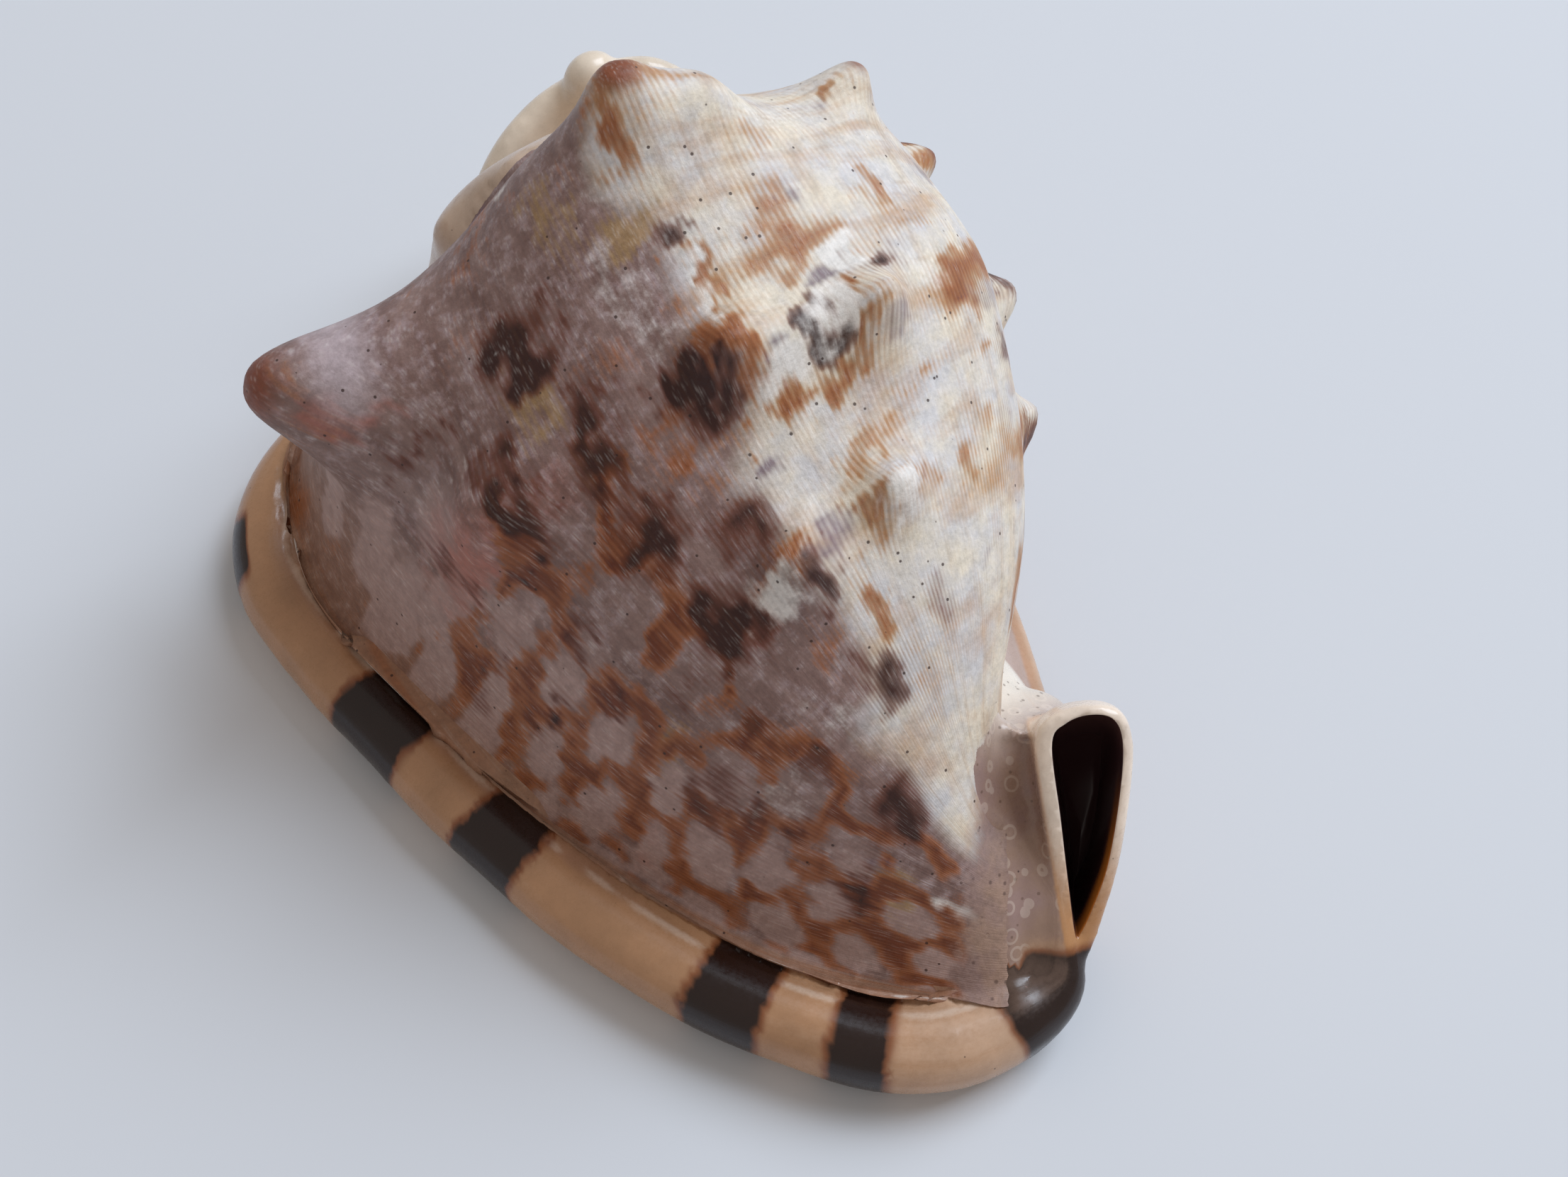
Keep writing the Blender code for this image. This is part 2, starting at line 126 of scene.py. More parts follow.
def radial(angle):
    a = math.radians(angle)
    return axisRight * math.cos(a) + axisUp * math.sin(a)


def growth(angle):
    return whorl["growthPerTurn"] ** ((angle - 90) / 360)


def ribPoints(angle):
    # Control points of the growth line at this angle, from the suture to the hollow of the neck.
    lip = whorl["lipAngle"]
    size = growth(angle)
    cosine = math.cos(math.radians(angle))
    lastTurn = angle > lip - 360
    side = max(math.cos(math.radians(angle - 12)), 0.0) ** 1.5 if lastTurn else 0.0
    waist = 1 - whorl["spireNarrower"] * ease((lip - 345 - angle) / 60)
    points = []
    for r, h, wider in whorl["profile"]:
        tilt = -whorl["shoulderTilt"] * cosine * r * size * min(max((80 + h) / 66, 0), 1)
        out = radial(angle) * r * size * waist * (1 + wider * side)
        points.append(apex + axisAlong * (h * size + tilt) + out)
    if not lastTurn:
        for r, h in whorl["coreEnd"]:
            points.append(apex + (axisAlong * h + radial(angle) * r) * size)
        return np.array(points)
    span = (angle - 15) / (lip - 15)
    fasciole, hollow = smoothCurve(whorl["fasciole"], span), smoothCurve(whorl["hollow"], span)
    low = points[-1] * 0.52 + fasciole * 0.48 + radial(angle) * 3.0 * size
    points += [low, fasciole, hollow]
    blend = ease((angle - lip + whorl["lipBlend"]) / whorl["lipBlend"])
    return np.array(points) * (1 - blend) + np.array(whorl["lipRib"], float) * blend


def raiseSpot(angles, grid, spot, shape):
    # Push the grid out, or in, round one spot of the last turn.
    angle, place, height, across, along, lean = spot
    row = np.interp(angle, angles, np.arange(len(angles)))
    low = min(int(row), len(angles) - 2)
    peak = smoothCurve(grid[low] * (1 - row + low) + grid[low + 1] * (row - low), np.array([place]))[0]
    lengthwise = (grid - peak) @ axisAlong
    crosswise = np.sqrt(np.maximum(((grid - peak) ** 2).sum(-1) - lengthwise ** 2, 0))
    distance = np.sqrt((lengthwise / along) ** 2 + (crosswise / across) ** 2)
    sameTurn = np.exp(-((angles - angle) / 70.0) ** 4)[:, None]
    return grid + (height * shape(distance) * sameTurn)[..., None] * (radial(angle) + axisAlong * lean)


def whorlGrid(angles, rows):
    # Points of the outer surface, one row for each rib.
    share = np.linspace(0, 1, rows)
    grid = np.array([smoothCurve(ribPoints(a), share) for a in angles])
    for spot in whorl["dips"]:
        grid = raiseSpot(angles, grid, spot, lambda d: np.exp(-d ** 2))
    for spot in whorl["horns"] + whorl["knobs"]:
        grid = raiseSpot(angles, grid, spot, lambda d: (1 + d ** 3) ** -1.2)
    onShoulder = np.exp(-((share - 0.31) / 0.07) ** 2)
    for i, angle in enumerate(angles):
        older = ease((whorl["lipAngle"] - 330 - angle) / 40)
        wave = 0.5 + 0.5 * math.cos(math.radians(angle * whorl["spireKnobs"]))
        push = whorl["spireKnobHeight"] * growth(angle + 360) * older * wave ** 2
        grid[i] += (push * onShoulder)[:, None] * (radial(angle) + axisAlong * 0.3)
    return grid


def outward(grid):
    # Unit normals of a grid of points, away from the coiling axis.
    normal = np.cross(np.gradient(grid, axis=0), np.gradient(grid, axis=1))
    normal /= np.maximum(np.linalg.norm(normal, axis=-1, keepdims=True), 1e-9)
    middle = normal.shape[1] // 2
    centre = apex + axisAlong * ((grid - apex) @ axisAlong)[..., None]
    flip = np.sign(((grid - centre)[:, middle] * normal[:, middle]).sum(-1))
    return normal * flip[:, None, None]


def coreOf(angle):
    size = growth(angle)
    core = [apex + (axisAlong * h + radial(angle) * 0.6) * size for h in (-95.0, -60.0, -9.0)]
    if angle > whorl["lipAngle"] - 360:
        core[0], core[1] = np.array((6.0, -44.0, 8.0)), np.array((5.0, -20.0, 16.0))
    return np.array(core)


# Mesh helpers.
def addObject(name, mesh):
    thing = bpy.data.objects.new(name, mesh)
    scene.collection.objects.link(thing)
    return thing


def meshFrom(name, points, faces):
    mesh = bpy.data.meshes.new(name)
    mesh.from_pydata([tuple(p) for p in toMetres(points)], [], faces)
    work = bmesh.new()
    work.from_mesh(mesh)
    bmesh.ops.recalc_face_normals(work, faces=work.faces)
    work.to_mesh(mesh)
    work.free()
    mesh.shade_smooth()
    return mesh


def loft(name, rings):
    # Closed skin over a row of rings with equal counts, with a fan over each end.
    n, count = len(rings[0]), len(rings)
    points = np.concatenate([np.concatenate(rings), rings[0].mean(0)[None], rings[-1].mean(0)[None]])
    i = np.arange(n)
    j = (i + 1) % n
    faces = []
    for k in range(count - 1):
        faces += np.column_stack([k * n + i, k * n + j, (k + 1) * n + j, (k + 1) * n + i]).tolist()
    faces += np.column_stack([np.full(n, count * n), j, i]).tolist()
    faces += np.column_stack([np.full(n, count * n + 1), (count - 1) * n + i, (count - 1) * n + j]).tolist()
    return meshFrom(name, points, faces)


def meshPoints(mesh):
    co = np.empty(len(mesh.vertices) * 3)
    mesh.vertices.foreach_get("co", co)
    return co.reshape(-1, 3) / mm + origin


def setField(mesh, name, values):
    # One number for each point of the mesh, for the materials and the node trees.
    field = mesh.attributes.new(name, "FLOAT", "POINT")
    field.data.foreach_set("value", np.asarray(values, np.float32).ravel())


def freeze(thing):
    # Turn what the modifiers make into a plain mesh.
    depsgraph = bpy.context.evaluated_depsgraph_get()
    mesh = bpy.data.meshes.new_from_object(thing.evaluated_get(depsgraph))
    thing.modifiers.clear()
    thing.data = mesh
    return thing


def modify(thing, kind, **settings):
    step = thing.modifiers.new(kind.lower(), kind)
    for name, value in settings.items():
        setattr(step, name, value)
    return step


# Lip, neck, collar, shield and spout.
callus = {
    "voxel": 0.85, "smoothing": 4, "underBack": 0.45,
    # spots that are smoothed further: centre and radius, and the rounds of smoothing
    "soft": ((-44, 50, 18, 16), (-40, 62, 24, 14), (-47, 25, 12, 12), (-44, 0, 10, 10), (-50, 40, 12, 12),
             (19, -34, 20.5, 4.5)),
    "softRounds": 40,
    "lip": ((-9, 77, 9, 5.5), (-21, 76, 8, 6), (-34, 73, 6.5, 6), (-47, 67, 6, 6), (-54, 57, 6, 6),
            (-55, 43, 6, 6), (-52.5, 24, 6, 6), (-48.5, 1, 6, 6), (-41.5, -23, 6, 6),
            (-30.5, -44, 6, 6), (-17, -58.5, 6, 6), (-4.5, -61.5, 6.2, 6), (2, -61.3, 8, 4.4),
            (4.8, -58.6, 11.5, 2.4), (7.3, -53.5, 17, 1.2)),
    "neck": ((14, -20, 6, 7), (13.5, -36, 13, 9), (8.5, -46, 11.5, 9), (1, -57.5, 4, 7)),
    "collar": ((-21, 76, 12, 5), (-8, 78.5, 19, 4), (0, 82, 27, 3.5), (7, 85, 33.5, 3.2),
               (14, 86.5, 37, 3.2), (21, 86, 39.5, 3.2), (28, 83.5, 41, 3.2), (34, 79.5, 40, 3.2),
               (41, 73, 31, 3.2), (47, 63, 15, 3)),
    "lumps": ((16, 64, 16, 32, 20, 20), (-14, 61, 12, 27, 17, 18), (8, -22, 10, 17, 26, 15),
              (15.5, -38, 10, 9, 13, 16), (19, -33.5, 15.5, 7, 8, 6.5), (23.5, 84.5, 39.4, 4.6, 3.6, 4.6)),
    "shield": ((8, 85), (25, 83), (39, 74), (47.5, 60), (50, 42), (47, 20), (38.5, -2), (32, -20),
               (24.5, -36), (12, -52), (0, -60), (-14, -56), (-34, -32), (-46, 0), (-51, 30),
               (-49, 60), (-36, 75), (-10, 81)),
    "shieldSection": ((0.30, -2), (0.12, -0.4), (0.03, 0.8), (0, 2.6), (0.015, 4.6), (0.05, 5.4),
                      (0.11, 6.6), (0.2, 11), (0.34, 19), (0.6, 26)),
}
spout = {
    "foot": (5.5, -62.5, 8.5), "spine": (0.281, 0.625, 0.729), "facing": (-0.427, -0.599, 0.678),
    "middle": (3.5, 9.0),
    "rim": ((-1.4, 1), (-2.8, 8), (-3.1, 22), (-3.1, 34.5), (-0.6, 38.2), (4, 39.2), (8.4, 38),
            (9.8, 33.5), (9, 26.5), (6.8, 16.5), (3.8, 8), (0.8, 1.5)),
    "hollow": ((-0.1, 7), (-0.4, 14), (-0.6, 24), (-0.8, 34.5), (1.2, 37.2), (4.5, 38), (7.4, 36.9),
               (8.2, 33), (7, 25), (4.8, 16), (2.2, 9.8), (0.4, 6.6)),
    # grow, distance back from the opening, drawn together
    "wall": ((-0.9, -0.5, 1), (-0.35, -0.4, 1), (0, 0.3, 1), (0.2, 4, 0.96), (0.3, 8, 0.91),
             (0.4, 12, 0.84), (0.4, 16, 0.74), (0.4, 19, 0.5)),
    "pocket": ((0.7, -3, 1), (0, 0, 1), (0, 5, 0.93), (0, 9, 0.84), (0, 13, 0.68), (0, 15, 0.4)),
}
slit = {
    "path": ((-20, 66, 3), (-25, 52, 5), (-27, 34, 5.5), (-25, 14, 5.5), (-20, -6, 5),
             (-12.5, -24, 4.2), (-4, -39, 3.4), (4, -51, 2.4), (9, -60, 2), (12, -68, 2.6)),
    "depth": 20.0, "flare": 3.2, "teeth": 8, "folds": 12,
}


def makeTube(name, path):
    data = bpy.data.curves.new(name, "CURVE")
    data.dimensions = "3D"
    data.resolution_u = 10
    data.bevel_depth = mm
    data.bevel_resolution = 6
    data.use_fill_caps = True
    spline = data.splines.new("BEZIER")
    spline.bezier_points.add(len(path) - 1)
    for point, (x, y, z, radius) in zip(spline.bezier_points, path):
        point.co = toMetres((x, y, z))
        point.radius = radius
        point.handle_left_type = point.handle_right_type = "AUTO"
    thing = addObject(name, data)
    depsgraph = bpy.context.evaluated_depsgraph_get()
    mesh = bpy.data.meshes.new_from_object(thing.evaluated_get(depsgraph))
    bpy.data.objects.remove(thing)
    work = bmesh.new()
    work.from_mesh(mesh)
    bmesh.ops.remove_doubles(work, verts=work.verts, dist=0.01 * mm)
    bmesh.ops.recalc_face_normals(work, faces=work.faces)
    work.to_mesh(mesh)
    work.free()
    return mesh


def makeLump(x, y, z, across, along, up):
    mesh = bpy.data.meshes.new("callusLump")
    work = bmesh.new()
    bmesh.ops.create_uvsphere(work, u_segments=40, v_segments=24, radius=mm)
    bmesh.ops.scale(work, vec=(across, along, up), verts=work.verts)
    bmesh.ops.translate(work, vec=toMetres((x, y, z)), verts=work.verts)
    work.to_mesh(mesh)
    work.free()
    return mesh


def makeShield():
    edge = closedCurve(callus["shield"], 96)
    middle = closedCurve(callus["shield"], 72).mean(0)
    rings = []
    for inset, height in callus["shieldSection"]:
        ring = edge + (middle - edge) * inset
        rings.append(np.column_stack([ring, np.full(len(ring), float(height))]))
    return loft("shield", rings)


def makeCollar():
    path = np.array(callus["collar"], float)
    share = np.linspace(0, 1, 70)
    points, halves = smoothCurve(path[:, :3], share), smoothCurve(path[:, 3:], share)[:, 0]
    rings = []
    for point, half, way in zip(points, halves, np.gradient(points[:, :2], axis=0)):
        out = np.array((-way[1], way[0])) / np.linalg.norm(way)
        top = point[2]
        section = ((-14.0, 1.5), (half - 6.0, 1.5), (half - 2.5, 0.12 * top), (half - 1.2, 0.4 * top),
                   (half, top - half), (0.6 * half, top - 0.3 * half), (0.0, top),
                   (-0.6 * half, top - 0.3 * half), (-half, top - half), (-half - 1.5, 0.75 * top),
                   (-half - 5.0, 0.5 * top), (-14.0, 0.35 * top))
        rings.append(np.array([np.append(point[:2] + out * a, z) for a, z in section]))
    return loft("collar", rings)


spoutAcross = np.cross(spout["spine"], spout["facing"])


def spoutRing(outline, grow, back, narrow):
    edge = closedCurve(outline, 90)
    way = np.roll(edge, -1, axis=0) - np.roll(edge, 1, axis=0)
    out = np.column_stack([-way[:, 1], way[:, 0]]) / np.linalg.norm(way, axis=1)[:, None]
    middle = np.array(spout["middle"])
    flat = middle + (edge + out * grow - middle) * narrow
    spine, facing = np.array(spout["spine"]), np.array(spout["facing"])
    return np.array(spout["foot"]) + flat[:, :1] * spoutAcross + flat[:, 1:] * spine - facing * back


def makeSlit():
    # Scalloped by the teeth of the lip on one side and the finer folds of the shield on the other.
    path = np.array(slit["path"], float)
    share = np.linspace(0, 1, 160)
    centres, widths = smoothCurve(path[:, :2], share), smoothCurve(path[:, 2:], share)[:, 0]
    flare = slit["flare"]
    rings = []
    for s, centre, half, way in zip(share, centres, widths, np.gradient(centres, axis=0)):
        across = np.array((way[1], -way[0])) / np.linalg.norm(way)
        depth = slit["depth"] * min(1.0, 0.3 + 1.2 * min(2 * s, 1 - s))
        toothed = ease(6 * s) * ease(6 * (0.85 - s))
        tooth = 1 - 0.35 * toothed * (0.5 + 0.5 * math.cos(2 * math.pi * slit["teeth"] * s / 0.85))
        fold = 1 - 0.25 * toothed * (0.5 + 0.5 * math.cos(2 * math.pi * slit["folds"] * s / 0.85))
        low, high = 0.75 * flare + 0.25 * depth, 0.35 * flare + 0.65 * depth
        section = ((-2.1, -3.0), (2.1, -3.0), (1.5, 0.8), (fold, flare), (1.0, low), (1.1, high),
                   (0.7, depth), (-0.9, depth), (-1.3, high), (-1.0, low), (-tooth, flare), (-1.5, 0.8))
        rings.append(np.array([np.append(centre - across * a * half, z) for a, z in section]))
    return loft("slit", rings)


def makeBox(name, size, centre):
    mesh = bpy.data.meshes.new(name)
    work = bmesh.new()
    bmesh.ops.create_cube(work, size=1.0)
    bmesh.ops.scale(work, vec=size, verts=work.verts)
    bmesh.ops.translate(work, vec=centre, verts=work.verts)
    work.to_mesh(mesh)
    work.free()
    return mesh


def wholeBody():
    angles = np.arange(whorl["lipAngle"] - 360 * whorl["turns"], whorl["lipAngle"] + 0.1, 3.0)
    rings = [np.concatenate([row, coreOf(a)]) for a, row in zip(angles, whorlGrid(angles, 60))]
    rings.append(rings[-1] * (1.0, 1.0, 0.1))
    return loft("wholeBody", rings)


def softenSpots(mesh):
    # Even out the mesh with its neighbours round the places where the callus flows smoothly.
    points = meshPoints(mesh)
    edges = np.empty(len(mesh.edges) * 2, int)
    mesh.edges.foreach_get("vertices", edges)
    a, b = edges[::2], edges[1::2]
    count = np.bincount(edges, minlength=len(points))[:, None]
    share = np.zeros(len(points))
    for x, y, z, radius in callus["soft"]:
        share = np.maximum(share, ease(1.6 - np.linalg.norm(points - (x, y, z), axis=1) / radius))
    for i in range(callus["softRounds"]):
        total = np.zeros_like(points)
        for axis in range(3):
            total[:, axis] = (np.bincount(a, points[b, axis], len(points))
                              + np.bincount(b, points[a, axis], len(points)))
        points += (total / count - points) * 0.5 * share[:, None]
    mesh.vertices.foreach_set("co", toMetres(points).ravel())
    mesh.update()


def makeCallus():
    pieces = [wholeBody(), makeTube("lip", callus["lip"]), makeTube("neck", callus["neck"]),
              makeCollar(), makeShield(), loft("spout", [spoutRing(spout["rim"], *s) for s in spout["wall"]])]
    pieces += [makeLump(*lump) for lump in callus["lumps"]]
    joined = bpy.data.meshes.new("shellCallus")
    work = bmesh.new()
    for piece in pieces:
        work.from_mesh(piece)
        bpy.data.meshes.remove(piece)
    work.to_mesh(joined)
    work.free()
    shell = addObject("shellCallus", joined)
    pocketMesh = loft("pocket", [spoutRing(spout["hollow"], *s) for s in spout["pocket"]])
    slitMesh = makeSlit()
    cutters = [addObject("slitCutter", slitMesh), addObject("pocketCutter", pocketMesh),
               addObject("floorCutter", makeBox("floorCutter", (0.4, 0.4, 0.05), (0, 0, -0.025)))]
    modify(shell, "REMESH", mode="VOXEL", voxel_size=callus["voxel"] * mm)
    modify(shell, "SMOOTH", factor=0.5, iterations=callus["smoothing"])
    freeze(shell)
    softenSpots(shell.data)
    depsgraph = bpy.context.evaluated_depsgraph_get()
    skin = BVHTree.FromObject(shell, depsgraph)
    trees = [BVHTree.FromObject(c, depsgraph) for c in cutters[:2]]
    for cutter in cutters:
        modify(shell, "BOOLEAN", operation="DIFFERENCE", object=cutter)
    freeze(shell)
    for cutter in cutters:
        bpy.data.objects.remove(cutter)
    shell.data.shade_smooth()
    return shell, skin, trees


callusPiece, skinTree, cutTrees = makeCallus()
print("callus", len(callusPiece.data.polygons), "faces")


# Ridged back.
def nearestOn(tree, points):
    # Nearest place, normal and face on the tree's surface for each point, in millimetres.
    found = [tree.find_nearest(Vector(p)) for p in toMetres(points)]
    places = np.array([tuple(f[0]) for f in found]) / mm + origin
    return places, np.array([tuple(f[1]) for f in found]), np.array([f[2] for f in found])


def castOut(tree, points, ways, deeper=3.0):
    # Millimetres from each point along its way to the tree's surface, 99 where there is none.
    found = [tree.ray_cast(Vector(p), Vector(w), 0.018)[3]
             for p, w in zip(toMetres(points - ways * deeper), ways)]
    return np.array([99.0 if d is None else d / mm - deeper for d in found])


def spread(field, times):
    # Even out a grid of numbers with its neighbours.
    for i in range(times):
        wide = np.pad(field, ((1, 1), (1, 1)) + ((0, 0),) * (field.ndim - 2), "edge")
        field = (wide[:-2, 1:-1] + wide[2:, 1:-1] + wide[1:-1, :-2] + wide[1:-1, 2:] + 2 * field) / 6
    return field


def makeBack():
    lip = whorl["lipAngle"]
    plain = np.arange(lip - 360 + 2.0, whorl["ridgedFrom"] - 0.5, 2.5)
    ridged = np.arange(lip, whorl["ridgedFrom"], -whorl["ridgeStep"] / 3)[::-1]
    angles = np.concatenate([plain, ridged])
    rows = whorl["ribRows"]
    grid = whorlGrid(angles, rows)
    share = np.linspace(0, 1, rows)
    # move the points out, or in, to the smooth skin, and leave the ones that are deep under it
    out = outward(grid)
    reach = castOut(skinTree, grid.reshape(-1, 3), out.reshape(-1, 3)).reshape(grid.shape[:2])
    besideLip = ease((angles - 150) / 25)[:, None] * ease((share - 0.1) / 0.1)[None, :]
    # the front end goes under the smooth neck, at the corner of the lip and on the saddle by the canal
    corner = ease((angles - 135) / 25)[:, None] * ease((share - 0.93) / 0.025)[None, :]
    saddle = ease((88 - angles) / 14)[:, None] * ease((share - 0.85) / 0.022)[None, :]
    hidden = np.maximum(corner, saddle)
    laid = spread((1 - ease((reach - 3.0 - 7.0 * besideLip) / 2.0)) * (1 - hidden), 4)
    push = out * (np.minimum(reach, 12) * laid)[..., None]
    grid = grid + spread(push, 2) * (1 - besideLip[..., None]) + spread(push, 8) * besideLip[..., None]
    under = 1.2 * ease((angles - 217) / 5)[:, None] + 0.8 * ease((share - 0.93) / 0.05)[None, :]
    under = under + 1.5 * corner
    grid = grid - outward(grid) * under[..., None]
    inside = np.array([coreOf(a)[0] for a in angles])[:, None, :]
    grid = grid + (inside - grid) * (0.6 * saddle)[..., None]
    laid = laid * (1 - np.clip(under, 0, 1))
    rings = [np.concatenate([row, coreOf(a)]) for a, row in zip(angles, grid)]
    mesh = loft("shellBack", rings)
    n = rows + 3
    fields = {
        "growthAngle": np.repeat(angles, n), "place": np.tile(np.append(share, (1, 1, 1)), len(angles)),
        "laid": np.concatenate([laid, np.zeros((len(angles), 3))], axis=1).ravel(),
    }
    for name, values in fields.items():
        fields[name] = np.append(values, (values[0], values[-1]))
        setField(mesh, name, fields[name])
    return addObject("shellBack", mesh), fields


backPiece, backFields = makeBack()


def sinkUnderBack(piece):
    # The callus lies a little lower where the ridged back covers it.
    points = meshPoints(piece.data)
    normals = np.empty(len(points) * 3)
    piece.data.vertices.foreach_get("normal", normals)
    tree = BVHTree.FromObject(backPiece, bpy.context.evaluated_depsgraph_get())
    corners = np.array([tuple(f.vertices)[:3] for f in backPiece.data.polygons])
    places, facing, faces = nearestOn(tree, points)
    near = np.linalg.norm(places - points, axis=1) < 1.0
    cover = ease((backFields["laid"][corners[faces]].min(1) * near - 0.6) / 0.4)
    points -= normals.reshape(-1, 3) * (callus["underBack"] * cover)[:, None]
    piece.data.vertices.foreach_set("co", toMetres(points).ravel())
    piece.data.update()
    return points


callusPoints = sinkUnderBack(callusPiece)
print("back", len(backPiece.data.polygons), "faces")

# The photograph's view: the camera stands here, and the spots read off the photograph are cast from here.
view = {
    "azimuth": -35.0, "elevation": 62.0, "distance": 0.3, "target": (0.0, 0.0, 30.0),
    "lens": 50.0, "filmWidth": 36.0, "photo": (2212, 1661),
    "castFrom": -75.0, "castStep": 1.5, "castReach": 0.015,     # growth angles, and a share of the rib
    "leastAcross": 1.2, "leastAlong": 0.005,                    # no spot is smaller: degrees, place
}
az, el = math.radians(view["azimuth"]), math.radians(view["elevation"])
viewBack = np.array((math.sin(az) * math.cos(el), -math.cos(az) * math.cos(el), math.sin(el)))
viewRight = np.array((math.cos(az), math.sin(az), 0.0))
viewUp = np.cross(viewBack, viewRight)
eye = np.array(view["target"]) + viewBack * view["distance"] / mm
focal = view["photo"][0] * view["lens"] / view["filmWidth"]
castAngles = np.arange(view["castFrom"], whorl["lipAngle"] + 0.1, view["castStep"])
castGrid = whorlGrid(castAngles, whorl["ribRows"])


def makeCastTree():
    n = whorl["ribRows"]
    corners = [i * n + j for i in range(len(castAngles) - 1) for j in range(n - 1)]
    faces = [(k, k + 1, k + n + 1, k + n) for k in corners]
    return BVHTree.FromPolygons([tuple(p) for p in castGrid.reshape(-1, 3)], faces), faces


def seenAt(row, column):
    # Where the camera sees a place between the grid's rows and columns, in photograph pixels.
    row = min(max(row, 0), castGrid.shape[0] - 1.001)
    column = min(max(column, 0), castGrid.shape[1] - 1.001)
    i, j = int(row), int(column)
    u, v = row - i, column - j
    low = castGrid[i, j] * (1 - u) + castGrid[i + 1, j] * u
    high = castGrid[i, j + 1] * (1 - u) + castGrid[i + 1, j + 1] * u
    away = low * (1 - v) + high * v - eye
    return focal * np.array((away @ viewRight, -(away @ viewUp))) / -(away @ viewBack)


castTree, castFaces = makeCastTree()


def castSpots(rows):
    # From x, y, half width and half height in photograph pixels, to growth angle, place on the rib,
    # half width in degrees and half height on the rib, where the camera sees them on the plain whorl.
    points = castGrid.reshape(-1, 3)
    columns = whorl["ribRows"] - 1
    reach = view["castReach"]
    spots = []
    for x, y, wide, high, *strength in rows:
        x, y = x - view["photo"][0] / 2, y - view["photo"][1] / 2
        way = Vector(viewRight * x - viewUp * y - viewBack * focal).normalized()
        hit = castTree.ray_cast(Vector(eye), way)       # the spot, its normal, the face and how far
        corners = castFaces[hit[2]]
        share = poly_3d_calc([Vector(points[k]) for k in corners], hit[0])
        row = corners[0] // whorl["ribRows"] + share[2] + share[3]
        column = corners[0] % whorl["ribRows"] + share[1] + share[2]
        perDegree = np.linalg.norm(seenAt(row + 1, column) - seenAt(row - 1, column)) / (2 * view["castStep"])
        ahead, behind = seenAt(row, column + reach * columns), seenAt(row, column - reach * columns)
        perPlace = np.linalg.norm(ahead - behind) / (2 * reach)
        spots.append((view["castFrom"] + row * view["castStep"], column / columns,
                      max(wide / perDegree, view["leastAcross"]), max(high / perPlace, view["leastAlong"]),
                      *strength))
    return spots


